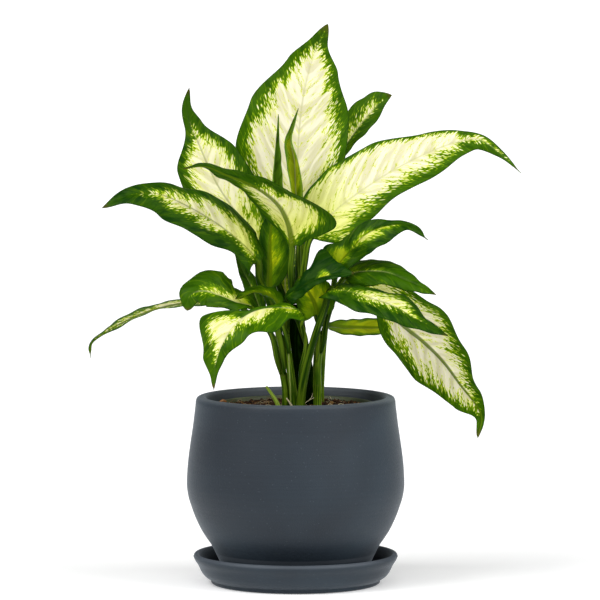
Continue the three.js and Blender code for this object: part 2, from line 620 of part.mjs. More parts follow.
// A leaf: a round stalk that opens into a folded, arched and waved blade with a raised rib below.
function leafGeometry(leaf) {
  const line = leafLine(leaf);
  const bladeStart = line.distanceOf(stalkStart(leaf).length + leaf.stalk.length);
  const bladeLength = line.total - bladeStart;
  const steps = STALK_STEPS + BLADE_STEPS;
  const faceBase = new THREE.Vector3(...leaf.face[0]).normalize();
  const faceTip = new THREE.Vector3(...leaf.face[1]).normalize();
  const [waveHeight, waveCount] = leaf.wave;
  const topRadius = leaf.radius[1];

  const section = (angle, share, atMiddle) => {
    const row = Math.round(share * steps);
    const onStalk = row < STALK_STEPS;
    const bladeRow = (row - STALK_STEPS) / BLADE_STEPS;
    const u = onStalk ? 0 : 0.5 * bladeRow + 0.25 * (1 - Math.cos(Math.PI * bladeRow));
    const distance = onStalk ? (row / STALK_STEPS) * bladeStart : bladeStart + u * bladeLength;
    const along = line.along(distance);
    const hint = faceBase.clone().lerp(faceTip, u * u * (3 - 2 * u));
    const normal = hint.addScaledVector(along, -hint.dot(along)).normalize();
    const across = new THREE.Vector3().crossVectors(along, normal);
    const centre = line.at(distance);

    // Place on the section: its column from the middle of the upper face round to the underside.
    const column = Math.round((angle / (2 * Math.PI)) * SECTION_SIDES);
    const quarter = (SECTION_SIDES - 2) / 4;
    const side = Math.sign(column);
    const above = Math.abs(column) <= quarter;
    const half = SECTION_SIDES / 2;
    const q = atMiddle ? 0 : (above ? Math.abs(column) : half - Math.abs(column)) / quarter;
    const face = above ? 1 : -1;

    const stalkRadius = onStalk
      ? stalkRadiusAt(leaf, row / STALK_STEPS)
      : topRadius * (1 - u) ** 0.8 + 0.25;
    const turn = q * radians(78);
    const stalkAcross = side * stalkRadius * Math.sin(turn);
    const stalkUp = atMiddle ? 0 : face * stalkRadius * Math.cos(turn);
    const left = onStalk ? 0 : halfWidth(leaf.left, leaf, u);
    const right = onStalk ? 0 : halfWidth(leaf.right, leaf, u);
    const flat = onStalk ? 0 : smoothStep(1, 3, (left + right) / 2 / stalkRadius);

    const pick = side < 0 ? 0 : 1;
    const thin = smoothStep(0, 0.2, u);
    const reach = Math.max(side < 0 ? left : right, stalkRadius * (1 - thin) + 0.35 * thin);
    const fold = radians(leaf.fold[pick]) * flat;
    const curl = radians(leaf.curl[pick]) * flat + 1e-5;
    const bladeAcross = (side * reach * (Math.sin(fold) - Math.sin(fold - curl * q))) / curl;
    const arch = (reach * (Math.cos(fold - curl * q) - Math.cos(fold))) / curl;
    const ripple = waveHeight * q * q * Math.sin(2 * Math.PI * waveCount * u + pick * 1.7)
      * Math.sqrt(Math.sin(Math.PI * u) + 1e-9);
    const sweep = -leaf.lobe * q ** 1.5 * reach * flat * (1 - u) ** 3;
    const ribShare = (q * reach) / Math.max(stalkRadius, 0.3);
    const ribDepth = stalkRadius * Math.exp(-ribShare * ribShare);
    const depth = above ? BLADE_THICKNESS / 2 : -BLADE_THICKNESS / 2 - ribDepth;
    const bladeUp = arch + ripple * flat + (atMiddle ? 0 : depth);

    return centre
      .addScaledVector(across, THREE.MathUtils.lerp(stalkAcross, bladeAcross, flat))
      .addScaledVector(normal, THREE.MathUtils.lerp(stalkUp, bladeUp, flat))
      .addScaledVector(along, sweep);
  };
  return splitAlike(bentCylinder(SECTION_SIDES, steps, section), steps);
}

// Turns the diagonals of the underside's squares, so that both faces of a waved blade are split alike.
function splitAlike(geometry, steps) {
  const index = geometry.index;
  const firstUnder = (SECTION_SIDES - 2) / 4 + 1;
  for (let column = firstUnder; column < SECTION_SIDES - firstUnder; column += 1) {
    for (let row = 0; row < steps; row += 1) {
      const at = (column * steps + row) * 6;
      const a = index.getX(at);
      const b = index.getX(at + 1);
      const d = index.getX(at + 2);
      const c = index.getX(at + 4);
      [a, b, c, a, c, d].forEach((corner, i) => index.setX(at + i, corner));
    }
  }
  return geometry;
}

// The broken stub of an old shoot: a flat, pointed sliver that leans out of the soil.
function stubLine() {
  return new Line([
    [-12.6, -12, SOIL_LEVEL - 12], [-13.2, -12, SOIL_LEVEL + 2], [-16.6, -12, SOIL_LEVEL + 9],
    [-22.3, -12, SOIL_LEVEL + 17.2],
  ]);
}

function namedMesh(name, geometry, surface) {
  const mesh = new THREE.Mesh(toGeometry(toSolid(geometry)), surface);
  mesh.name = name;
  return mesh;
}

function soilMesh(solids) {
  let soil = toSolid(soilBlank());
  solids.forEach((solid) => {
    soil = soil.subtract(solid);
  });
  const mesh = new THREE.Mesh(toGeometry(soil), pottingSoil());
  mesh.name = 'soil';
  return mesh;
}

const plant = new THREE.Group();
plant.name = 'potted_dieffenbachia';
plant.add(namedMesh('saucer', saucerGeometry(), slateGlaze()));
plant.add(namedMesh('outer_pot', potGeometry(), slateGlaze()));
plant.add(namedMesh('nursery_pot', nurseryPotGeometry(), nurseryPlastic()));

const holes = [];
Object.entries(STEMS).forEach(([name, stem]) => {
  const line = stemLine(stem);
  plant.add(namedMesh(`stem_${name}`, roundStem(line, stem.radius, STEM_SIDES, STEM_STEPS), stemGreen()));
  holes.push(toSolid(roundStem(line, stem.radius, STEM_SIDES, STEM_STEPS, GAP)));
});
Object.entries(LEAVES).forEach(([name, leaf]) => {
  plant.add(namedMesh(`leaf_${name}`, leafGeometry(leaf), leaf.over ? youngGreen() : leafGreen()));
  if (leaf.foot) {
    const line = leafLine(leaf);
    const width = [leaf.radius[0], leaf.radius[0]];
    holes.push(toSolid(roundStem(line, width, STEM_SIDES, 4, GAP, line.distanceOf(2))));
  }
});
plant.add(namedMesh('broken_stub', roundStem(stubLine(), STUB_RADIUS, 8, 5), shootGreen()));
holes.push(toSolid(roundStem(stubLine(), STUB_RADIUS, 8, 5, GAP)));
plant.add(soilMesh(holes));

export default plant;
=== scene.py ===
"""Looks of a potted dieffenbachia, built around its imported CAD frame.

Each class holds one sub-assembly's sizes in millimetres and builds its meshes in metres.
"""

import logging
import math
from collections.abc import Sequence
from dataclasses import dataclass
from enum import Enum

import bpy
import numpy as np
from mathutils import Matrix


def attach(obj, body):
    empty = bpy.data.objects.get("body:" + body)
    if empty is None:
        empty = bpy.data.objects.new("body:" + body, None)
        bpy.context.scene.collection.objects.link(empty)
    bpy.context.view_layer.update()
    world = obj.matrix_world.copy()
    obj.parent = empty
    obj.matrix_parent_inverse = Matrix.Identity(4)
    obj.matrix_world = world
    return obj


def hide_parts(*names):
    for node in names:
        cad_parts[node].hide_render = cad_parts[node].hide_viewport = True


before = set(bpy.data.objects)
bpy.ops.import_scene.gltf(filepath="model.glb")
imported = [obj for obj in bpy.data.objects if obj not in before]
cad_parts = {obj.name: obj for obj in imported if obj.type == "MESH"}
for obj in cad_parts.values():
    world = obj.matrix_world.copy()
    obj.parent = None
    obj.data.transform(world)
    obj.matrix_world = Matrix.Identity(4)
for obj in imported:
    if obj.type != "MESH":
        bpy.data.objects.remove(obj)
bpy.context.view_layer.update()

LOG = logging.getLogger("dieffenbachia")
MM = 0.001
SOIL_LEVEL = 134.0
# How far stems and stalks go down into the soil, and how far pieces stay off each other.
STEM_DEPTH = 24.0
GAP = 0.3
# A stalk's foot is this share of its radius where it lies on a stem.
FOOT_SHARE = 0.4
# Half widths of a blade are given at these shares of its length.
STATIONS = (0.06, 0.2, 0.4, 0.6, 0.8, 0.93)
VEIN_GAP = 16.0

Colour = tuple[float, float, float]
Point = tuple[float, float, float]
Pair = tuple[float, float]
Mesh = tuple[np.ndarray, list[list[int]]]


def paint(red: int, green: int, blue: int) -> Colour:
    """A linear colour from its usual 0 to 255 values."""
    shares = (red / 255, green / 255, blue / 255)
    return tuple(s / 12.92 if s <= 0.04045 else ((s + 0.055) / 1.055) ** 2.4 for s in shares)


def ease(start: float, end: float, value: np.ndarray) -> np.ndarray:
    """A smooth step from 0 to 1 as the value goes from start to end."""
    share = np.clip((value - start) / (end - start), 0.0, 1.0)
    return share * share * (3.0 - 2.0 * share)


def bell(value: np.ndarray, width: float) -> np.ndarray:
    """A bump of height 1 at 0 that dies away over a width."""
    return np.exp(-((value / width) ** 2))


def unit(vectors: np.ndarray) -> np.ndarray:
    """Vectors scaled to length 1, along the last axis."""
    return vectors / np.maximum(np.linalg.norm(vectors, axis=-1, keepdims=True), 1e-9)


def angles(count: int) -> np.ndarray:
    """Angles spread evenly round a circle, in radians."""
    return 2 * math.pi * np.arange(count) / count


def ripples(x: np.ndarray, y: np.ndarray, seed: int, octaves: int = 4) -> np.ndarray:
    """A smooth uneven field made of crossed waves.

    Args:
        x: First coordinate, in wave lengths of the coarsest wave.
        y: Second coordinate, likewise.
        seed: Which field.
        octaves: How many ever finer layers it has.

    Returns:
        Values around 0, mostly within -1 to 1.
    """
    rng = np.random.default_rng(seed)
    total = np.zeros(np.broadcast(x, y).shape)
    for octave in range(octaves):
        size = 1.9 ** octave
        for _ in range(4):
            turn, phase = rng.uniform(0, 2 * math.pi, 2)
            along = x * math.cos(turn) + y * math.sin(turn)
            total += np.sin(2 * math.pi * size * along + phase) / size / 2.4
    return total


class Value:
    """One value in a material's nodes, which arithmetic turns into Math nodes."""

    def __init__(self, graph: "Graph", socket: bpy.types.NodeSocket) -> None:
        """Keeps the output socket and the graph it belongs to."""
        self.graph = graph
        self.socket = socket

    def _math(self, operation: str, *operands: "Value | float") -> "Value":
        """A Math node on some operands."""
        values = dict(enumerate(operands))
        return self.graph.node("ShaderNodeMath", {"operation": operation}, values)

    def __add__(self, other: "Value | float") -> "Value":
        """Sum."""
        return self._math("ADD", self, other)

    __radd__ = __add__

    def __sub__(self, other: "Value | float") -> "Value":
        """Difference."""
        return self._math("SUBTRACT", self, other)

    def __rsub__(self, other: float) -> "Value":
        """Difference with this value second."""
        return self._math("SUBTRACT", other, self)

    def __mul__(self, other: "Value | float") -> "Value":
        """Product."""
        return self._math("MULTIPLY", self, other)

    __rmul__ = __mul__

    def __truediv__(self, other: "Value | float") -> "Value":
        """Quotient."""
        return self._math("DIVIDE", self, other)

    def __abs__(self) -> "Value":
        """Size without sign."""
        return self._math("ABSOLUTE", self)

    def __pow__(self, other: float) -> "Value":
        """Power."""
        return self._math("POWER", self, other)

    def clamped(self) -> "Value":
        """Held within 0 and 1."""
        return self._math("MINIMUM", self._math("MAXIMUM", self, 0.0), 1.0)

    def sawtooth(self, length: float) -> "Value":
        """Runs from 0 up to 1 and back, once for each two lengths."""
        return self._math("PINGPONG", self, length) / length

    def step(self, start: float, end: float) -> "Value":
        """A smooth step between two values.

        Args:
            start: Where the result is 0.
            end: Where it is 1, which may be below start.

        Returns:
            The stepped value.
        """
        (first, at_first), (last, at_last) = sorted(((start, 0.0), (end, 1.0)))
        values = {"From Min": first, "From Max": last, "To Min": at_first, "To Max": at_last}
        settings = {"interpolation_type": "SMOOTHSTEP"}
        return self.graph.node("ShaderNodeMapRange", settings, {"Value": self, **values})


Coordinates = Sequence[Value | float]


class Graph:
    """The nodes of one material around a Principled shader."""

    def __init__(self, name: str) -> None:
        """Starts a material of that name.

        Args:
            name: Its name.
        """
        self.material = bpy.data.materials.new(name)
        self.material.use_nodes = True
        self.tree = self.material.node_tree
        self.tree.nodes.clear()
        self.shader = self.tree.nodes.new("ShaderNodeBsdfPrincipled")
        end = self.tree.nodes.new("ShaderNodeOutputMaterial")
        self.tree.links.new(self.shader.outputs[0], end.inputs["Surface"])

    def keep(self, **numbers: float | tuple[float, ...]) -> None:
        """Sets the shader's constant sockets, named with _ for a space."""
        for key, number in numbers.items():
            self.shader.inputs[key.replace("_", " ")].default_value = number

    def feed(self, socket: str, value: Value) -> None:
        """Links a value to one of the shader's inputs."""
        self.tree.links.new(value.socket, self.shader.inputs[socket])

    def node(
        self,
        kind: str,
        settings: dict | None = None,
        values: dict | None = None,
        out: str | int = 0,
    ) -> Value:
        """Adds a node.

        Args:
            kind: Blender's type name of the node.
            settings: The node's own settings, set first.
            values: Its inputs by name or place, each a number, a colour or another value.
            out: The output to read, by name or place.

        Returns:
            The value of that output.
        """
        made = self.tree.nodes.new(kind)
        for key, setting in (settings or {}).items():
            if key == "stops":
                self._set_stops(made.color_ramp, setting)
            else:
                setattr(made, key, setting)
        for key, value in (values or {}).items():
            if isinstance(value, Value):
                self.tree.links.new(value.socket, made.inputs[key])
            else:
                made.inputs[key].default_value = value
        return Value(self, made.outputs[out])

    @staticmethod
    def _set_stops(ramp: bpy.types.ColorRamp, stops: dict[float, Colour]) -> None:
        """Gives a ramp its colours, by their places from 0 to 1.

        Args:
            ramp: The ramp.
            stops: Its colours by place.
        """
        while len(ramp.elements) < len(stops):
            ramp.elements.new(1.0)
        ramp.interpolation = "EASE"
        for element, (place, colour) in zip(ramp.elements, stops.items()):
            element.position = place
            element.color = (*colour, 1.0)

    def attributes(self, *names: str) -> list[Value]:
        """Numbers that the mesh carries at each corner, by name."""
        kind = "ShaderNodeAttribute"
        return [self.node(kind, {"attribute_name": name}, out="Fac") for name in names]

    def place(self) -> list[Value]:
        """The three coordinates of the surface point, in metres."""
        spot = self.node("ShaderNodeTexCoord", out="Object")
        return [self.node("ShaderNodeSeparateXYZ", {}, {0: spot}, axis) for axis in range(3)]

    def _point(self, where: Coordinates) -> Value:
        """A vector of up to three coordinates."""
        return self.node("ShaderNodeCombineXYZ", {}, dict(enumerate(where)))

    def noise(
        self, where: Coordinates, detail: float, scale: float = 1.0, warp: float = 0.0
    ) -> Value:
        """Soft noise, stretched to run from about 0 to 1.

        Args:
            where: The point to read it at, as up to three coordinates.
            detail: How many finer layers.
            scale: How many blobs to a unit.
            warp: How far it is pulled about.

        Returns:
            The noise.
        """
        point = self._point(where)
        values = {"Vector": point, "Detail": detail, "Scale": scale, "Distortion": warp}
        return self.node("ShaderNodeTexNoise", {}, values).step(0.28, 0.72)

    def cells(self, where: Coordinates, scale: float = 1.0, feature: str = "F1") -> Value:
        """Distance from the middle, or from another feature, of uneven cells."""
        values = {"Vector": self._point(where), "Scale": scale}
        return self.node("ShaderNodeTexVoronoi", {"feature": feature}, values, "Distance")

    def blend(
        self, share: Value | float, low: Value | Colour, high: Value | Colour, how: str = "MIX"
    ) -> Value:
        """Mixes two colours.

        Args:
            share: How much of the second.
            low: The first colour.
            high: The second colour.
            how: Blender's name of the blend.

        Returns:
            The mixed colour.
        """
        ends = [end if isinstance(end, Value) else (*end, 1.0) for end in (low, high)]
        settings = {"data_type": "RGBA", "blend_type": how, "clamp_factor": True}
        return self.node("ShaderNodeMix", settings, {0: share, 6: ends[0], 7: ends[1]}, 2)

    def bump(self, height: Value, depth: float, strength: float) -> None:
        """Gives the shader a bumpy normal.

        Args:
            height: Height as a share of the depth.
            depth: The depth in metres.
            strength: How much of it shows.
        """
        values = {"Height": height, "Distance": depth, "Strength": strength}
        self.feed("Normal", self.node("ShaderNodeBump", {}, values))


@dataclass(frozen=True)
class Finish:
    """A material for one of the record's slots."""

    name: str
    slot: str

    def make(self) -> bpy.types.Material:
        """Builds the material.

        Returns:
            The material.
        """
        graph = Graph(self.name)
        self.dress(graph)
        return graph.material

    def dress(self, g: Graph) -> None:
        """Sets and feeds the shader's sockets."""
        raise NotImplementedError


@dataclass(frozen=True)
class LeafFinish(Finish):
    """A leaf's skin: a cream heart, a netted green margin, veins, the midrib and the stalk."""

    cream: Colour = paint(229, 224, 196)
    pale: Colour = paint(226, 229, 132)
    lime: Colour = paint(172, 188, 26)
    grass: Colour = paint(114, 147, 6)
    fresh: Colour = paint(80, 119, 2)
    deep: Colour = paint(52, 90, 0)
    dark: Colour = paint(6, 46, 2)
    # Painted shade between the side veins.
    shade: Colour = paint(212, 211, 184)
    stalk: Colour = paint(28, 62, 0)
    stalk_light: Colour = paint(108, 136, 26)
    # Darker green of the stalk, also used as painted shade on its sides.
    stalk_dark_and_shade: Colour = paint(16, 46, 0)
    rib_line: Colour = paint(184, 184, 132)
    keel: Colour = paint(74, 96, 0)
    pale_back: Colour = paint(240, 236, 140)
    dried: Colour = paint(84, 64, 28)

    def dress(self, g: Graph) -> None:
        """Paints the skin and the stalk from the fields that Leaf gives its mesh.

        Args:
            g: The material's nodes.
        """
        g.keep(IOR=1.42, Specular_IOR_Level=0.12, Specular_Tint=(0.85, 1.0, 0.5, 1.0))
        # Painted glow: the undersides emit their own colour, standing in for light shining through
        # the blade.
        g.keep(Emission_Strength=0.23)
        edge, vein, along, side, share = g.attributes("edge", "vein", "along", "side", "share")
        under, lime, rim, dark_and_shade = g.attributes("under", "lime", "rim", "dark_and_shade")
        blade, rib, dry = g.attributes("blade", "rib", "dry")
        far = abs(side)
        plume = g.noise((vein * 0.075, far * 0.05), 2.0)
        streak = g.noise((vein * 0.28, far * 0.12, 5.0), 3.0)
        fine = g.noise((vein * 0.5, far * 0.8, 2.0), 2.0)
        web = g.cells((vein * 0.46, far * 0.34, 9.0), feature="DISTANCE_TO_EDGE")
        # From the rim inward: the green margin, its netted inner edge and the pale heart.
        reach = edge * (1.45 - plume * 0.8)
        depth = reach.step(0.3, 1.5)
        heart = reach.step(0.8, 3.2)
        netted = reach.step(0.25, 0.7) * (1.0 - lime * 0.75)
        net = (web * 3.4 + streak * 0.7 - 0.86) * netted
        blotch = g.noise((vein * 0.09, far * 0.12, 31.0), 2.0).step(0.5, 1.0)
        greener = lime * 0.5 + share.step(0.4, 0.0) * 0.25 + blotch * reach.step(4.5, 1.0) * 0.2
        tone = (depth * 0.5 + heart * 0.85 + net).clamped() * (1.0 - greener)
        stops = {
            0.0: self.deep, 0.24: self.fresh, 0.42: self.grass,
            0.58: self.lime, 0.76: self.pale, 1.0: self.cream,
        }
        skin = g.node("ShaderNodeValToRGB", {"stops": stops}, {0: tone})
        # Painted shade in bands between the side veins darkens the heart, standing for the shading
        # of its quilted relief, and the veins lighten the margin.
        bands = (vein / VEIN_GAP + plume * 0.8).sawtooth(0.5)
        shaded = bands.step(0.1, 0.9) * heart * 0.6 + fine * 0.08
        skin = g.blend(shaded, skin, self.shade, "MULTIPLY")
        seam = bands.step(0.2, 0.0) * far.step(0.8, 4.0)
        skin = g.blend(seam * (1.0 - depth) * 0.35, skin, self.grass)
        # Dark rims and random clouds, a per-leaf darkening of the margin that is partly a darker
        # green and partly painted shade, the midrib of each face and the dried tip.
        skin = g.blend(rim.step(0.9, 0.2) * 0.6, skin, self.dark)
        mottle = g.noise((vein * 0.1, far * 0.13, 47.0), 3.0).step(0.35, 0.95)
        # Per-leaf darkening of the margin: partly a darker green, partly painted shade.
        skin = g.blend((dark_and_shade + mottle * 0.45) * (1.0 - depth), skin, self.dark)
        line = far.step(1.1, 0.2) * share.step(1.0, 0.6) * (1.0 - under)
        line_colour = g.blend(dark_and_shade * 2.0, self.rib_line, self.keel)
        skin = g.blend(line * (0.06 + depth * 0.5), skin, line_colour)
        skin = g.blend(under * lime * 1.3, skin, self.pale_back, "MULTIPLY")
        skin = g.blend((far / rib).step(1.5, 0.8) * under * 0.9, skin, self.keel)
        skin = g.blend(share.step(0.945, 0.99) * dry, skin, self.dried)
        lengthwise = g.noise((along * 0.02, side * 0.5, 3.0), 2.0).step(0.25, 0.9)
        stem = g.blend(lengthwise * 0.85, self.stalk, self.stalk_light)
        # Painted shade darkens the stalk towards its sides, so that it looks round.
        stem = g.blend((far / rib).step(0.35, 0.95) * 0.6, stem, self.stalk_dark_and_shade)
        # The same per-leaf darkening on the stalk: partly a darker green, partly painted shade.
        stem = g.blend(dark_and_shade * 0.7, stem, self.stalk_dark_and_shade)
        g.feed("Base Color", g.blend(blade, stem, skin))
        # Painted glow on the blade's underside only.
        g.feed("Emission Color", g.blend(under * blade, paint(0, 0, 0), skin))
        g.feed("Roughness", 0.36 + streak * 0.12 + under * 0.08)
        g.bump(bands * 0.8 * far.step(0.5, 3.0) + fine * 0.12 + web * 0.1, 0.0007, 0.4)


@dataclass(frozen=True)
class StemFinish(Finish):
    """A sheathed green stem with pale sheath edges and lengthwise streaks."""

    green: Colour = paint(38, 76, 0)
    light: Colour = paint(118, 148, 30)
    edge: Colour = paint(190, 204, 118)
    earth: Colour = paint(92, 84, 40)
    gloss: float = 0.12

    def dress(self, g: Graph) -> None:
        """Paints the stem from the fields that Stem gives its mesh.

        Args:
            g: The material's nodes.
        """
        g.keep(IOR=1.42, Specular_IOR_Level=self.gloss, Specular_Tint=(0.85, 1.0, 0.5, 1.0))
        around, height, crease, ring = g.attributes("around", "height", "crease", "ring")
        lines = g.noise((around * 1.2, height * 0.03), 3.0)
        blotch = g.noise((around * 0.5, height * 0.12, 7.0), 2.0)
        colour = g.blend(lines.step(0.25, 0.9) * 0.75 + blotch * 0.15, self.green, self.light)
        colour = g.blend(crease * 0.8, colour, self.edge)
        colour = g.blend(ring * 0.3, colour, self.earth)
        colour = g.blend(height.step(4.0, -2.0) * 0.5, colour, self.earth)
        g.feed("Base Color", colour)
        g.feed("Roughness", 0.36 + lines * 0.16)
        g.bump(lines * 0.5 + blotch * 0.2, 0.0004, 0.6)


@dataclass(frozen=True)
class CeramicFinish(Finish):
    """Matte slate glaze with soft clouds of tone, a fine grain, painted highlights on its lip and
    rim and painted light on the pot's inner wall.
    """

    dark: Colour = paint(23, 31, 40)
    light: Colour = paint(38, 51, 61)
    painted_highlight: Colour = paint(92, 98, 106)
    fleck: Colour = paint(108, 116, 126)

    def dress(self, g: Graph) -> None:
        """Paints the glaze by the height and the radius on the pot and its saucer.

        Args:
            g: The material's nodes.
        """
        g.keep(IOR=1.45, Specular_IOR_Level=0.4, Sheen_Weight=0.26, Sheen_Roughness=0.35)
        g.keep(Sheen_Tint=(0.8, 0.9, 1.0, 1.0))
        x, y, z = g.place()
        clouds = g.noise((x * 7.0, y * 7.0, z * 10.0), 2.0, warp=0.6)
        rings = g.noise((0.0, 0.0, z * 420.0), 1.0)
        grain = g.noise((x, y, z), 3.0, scale=900.0)
        flecks = g.cells((x, y, z), scale=260.0).step(0.16, 0.05)
        colour = g.blend(clouds * 0.8 + rings * 0.08 + grain * 0.1, self.dark, self.light)
        colour = g.blend(flecks * 0.12, colour, self.fleck)
        # Painted highlights on the pot's lip and the saucer's rim, and painted light on the pot's
        # inner wall.
        pot_lip = z.step(0.1395, 0.1425)
        saucer_rim = z.step(0.0195, 0.022) * z.step(0.0245, 0.0235)
        inner_wall = ((x * x + y * y) ** 0.5).step(0.0705, 0.068) * z.step(0.122, 0.13)
        painted_light = (pot_lip + saucer_rim) * (0.25 + clouds * 0.3) + inner_wall * 0.5
        g.feed("Base Color", g.blend(painted_light, colour, self.painted_highlight))
        g.feed("Roughness", 0.5 + grain * 0.12 + clouds * 0.05)
        g.bump(grain * 0.5 + rings * 0.4, 0.00022, 0.5)


@dataclass(frozen=True)
class PlasticFinish(Finish):
    """Thin moulded nursery plastic, greenish and dusty."""

    wall: Colour = paint(56, 64, 42)
    dust: Colour = paint(112, 120, 86)

    def dress(self, g: Graph) -> None:
        """Scuffs and dusts the plastic.

        Args:
            g: The material's nodes.
        """
        g.keep(IOR=1.46, Specular_IOR_Level=0.4)
        x, y, z = g.place()
        scuffs = g.noise((x * 40.0, y * 40.0, z * 120.0), 4.0)
        fine = g.noise((x, y, z), 3.0, scale=700.0)
        g.feed("Base Color", g.blend(scuffs * 0.6 + fine * 0.15, self.wall, self.dust))
        g.feed("Roughness", 0.42 + scuffs * 0.2)
        g.bump(fine * 0.5 + scuffs * 0.5, 0.0002, 0.5)


@dataclass(frozen=True)
class SoilFinish(Finish):
    """Moist potting soil: peat, bark and fibre in mixed browns."""

    peat: Colour = paint(30, 20, 13)
    bark: Colour = paint(88, 54, 32)
    straw: Colour = paint(168, 132, 78)

    def dress(self, g: Graph) -> None:
        """Mixes the browns by each crumb's own tone, which is a field of the mesh.

        Args:
            g: The material's nodes.
        """
        g.keep(IOR=1.4, Specular_IOR_Level=0.25)
        x, y, z = g.place()
        lumps = g.noise((x, y, z), 4.0, scale=180.0)
        grit = g.noise((x, y, z), 3.0, scale=1500.0)
        tone, = g.attributes("tone")
        colour = g.blend(tone * 0.7 + lumps * 0.35 - 0.1, self.peat, self.bark)
        straw = tone.step(0.8, 1.0) * 0.7 + grit.step(0.85, 1.0) * 0.3
        g.feed("Base Color", g.blend(straw, colour, self.straw))
        g.feed("Roughness", 0.75 + grit * 0.2)
        g.bump(lumps * 0.7 + grit * 0.4, 0.0008, 0.8)


@dataclass(frozen=True)
class FibreFinish(Finish):
    """Pale dry roots, fibres and torn sheaths."""

    straw: Colour = paint(228, 218, 178)
    brown: Colour = paint(126, 84, 48)

    def dress(self, g: Graph) -> None:
        """Tells pale strands from brown ones by the field tone.

        Args:
            g: The material's nodes.
        """
        g.keep(IOR=1.4, Specular_IOR_Level=0.25)
        x, y, z = g.place()
        grain = g.noise((x * 900.0, y * 900.0, z * 260.0), 3.0)
        tone, = g.attributes("tone")
        g.feed("Base Color", g.blend(tone + grain * 0.25, self.straw, self.brown))
        g.feed("Roughness", 0.6 + grain * 0.2)
        g.bump(grain, 0.0002, 0.5)


@dataclass(frozen=True)
class FloorFinish(Finish):
    """The studio's pale floor."""

    light: Colour = (0.93, 0.93, 0.93)
    dark: Colour = (0.9, 0.9, 0.9)

    def dress(self, g: Graph) -> None:
        """Clouds the floor very slightly.

        Args:
            g: The material's nodes.
        """
        white = (1.0, 1.0, 1.0, 1.0)
        g.keep(Roughness=0.9, Specular_IOR_Level=0.0, Emission_Strength=0.2, Emission_Color=white)
        x, y, _ = g.place()
        clouds = g.noise((x, y), 2.0, scale=3.0)
        g.feed("Base Color", g.blend(clouds * 0.2, self.light, self.dark))


LEAF = LeafFinish("leaf_variegated", "leaf_variegated")
YOUNG_LEAF = LeafFinish(
    "leaf_young", "leaf_young", deep=paint(104, 146, 34), fresh=paint(140, 172, 50)
)
STEM = StemFinish("stem_green", "stem_green")
# The main stem's colours are near black: painted shade for the deep shadow among the stems.
SHADED_TRUNK = StemFinish(
    "stem_shaded", "stem_green", green=paint(2, 16, 0), light=paint(18, 42, 2),
    edge=paint(40, 66, 8), earth=paint(10, 20, 2), gloss=0.0,
)
SHOOT = StemFinish(
    "shoot_green", "shoot_green", green=paint(112, 146, 34), light=paint(172, 192, 84)
)
GLAZE = CeramicFinish("slate_glaze", "slate_ceramic")
PLASTIC = PlasticFinish("nursery_plastic", "nursery_plastic")
SOIL = SoilFinish("potting_soil", "potting_soil")
FIBRE = FibreFinish("dry_fibre", "potting_soil")
FLOOR = FloorFinish("studio_floor", "")


class Line:
    """A smooth curve through points, read by distance along it in millimetres."""

    PER_SPAN = 160
    # Directions are taken over this stretch either side, in millimetres.
    REACH = 0.8

    def __init__(self, points: Sequence[Point] | np.ndarray) -> None:
        """Draws the curve through the points.

        Args:
            points: Two points or more.
        """
        knots = np.array(points, float)
        knots = np.vstack([2 * knots[0] - knots[1], knots, 2 * knots[-1] - knots[-2]])
        spans = [self._span(knots[i:i + 4]) for i in range(len(knots) - 3)]
        self.places = np.vstack([*spans, knots[-2:-1]])
        steps = np.linalg.norm(np.diff(self.places, axis=0), axis=1)
        self.lengths = np.concatenate([[0.0], np.cumsum(steps)])
        self.total = float(self.lengths[-1])

    def _span(self, knots: np.ndarray) -> np.ndarray:
        """Points along the curve between the middle two of four knots.

        Args:
            knots: Four points.

        Returns:
            The span's points without its last.
        """
        gaps = np.sqrt(np.linalg.norm(np.diff(knots, axis=0), axis=1))
        first, middle, last = np.maximum(gaps, 1e-4)
        a, b, c, d = knots
        leave = ((b - a) / first - (c - a) / (first + middle) + (c - b) / middle) * middle
        enter = ((c - b) / middle - (d - b) / (middle + last) + (d - c) / last) * middle
        t = (np.arange(self.PER_SPAN) / self.PER_SPAN)[:, None]
        square = -3 * b + 3 * c - 2 * leave - enter
        cube = 2 * b - 2 * c + leave + enter
        return b + leave * t + square * t ** 2 + cube * t ** 3

    def distance_of(self, index: int) -> float:
        """Distance from the start to one of the given points."""
        return float(self.lengths[index * self.PER_SPAN])

    def at(self, distance: np.ndarray | float) -> np.ndarray:
        """Points at distances along the curve."""
        axes = (np.interp(distance, self.lengths, places) for places in self.places.T)
        return np.stack(list(axes), axis=-1)

    def along(self, distance: np.ndarray) -> np.ndarray:
        """Directions of the curve at distances."""
        return unit(self.at(distance + self.REACH) - self.at(distance - self.REACH))

    def at_height(self, height: float) -> tuple[np.ndarray, float]:
        """The point at a height, or at the end, and its share of the length."""
        index = int(np.argmax(self.places[:, 2] >= min(height, self.places[-1, 2])))
        return self.places[index].copy(), float(self.lengths[index] / self.total)

    def frame(self, distance: np.ndarray, facing: np.ndarray) -> tuple[np.ndarray, ...]:
        """Directions at distances: along the curve, across it, and square to both.

        Args:
            distance: Where to read them.
            facing: Where the last one is to look, as nearly as it can.

        Returns:
            The three directions at each distance.
        """
        along = self.along(distance)
        normal = unit(facing - along * (along * facing).sum(-1)[:, None])
        return along, np.cross(along, normal), normal


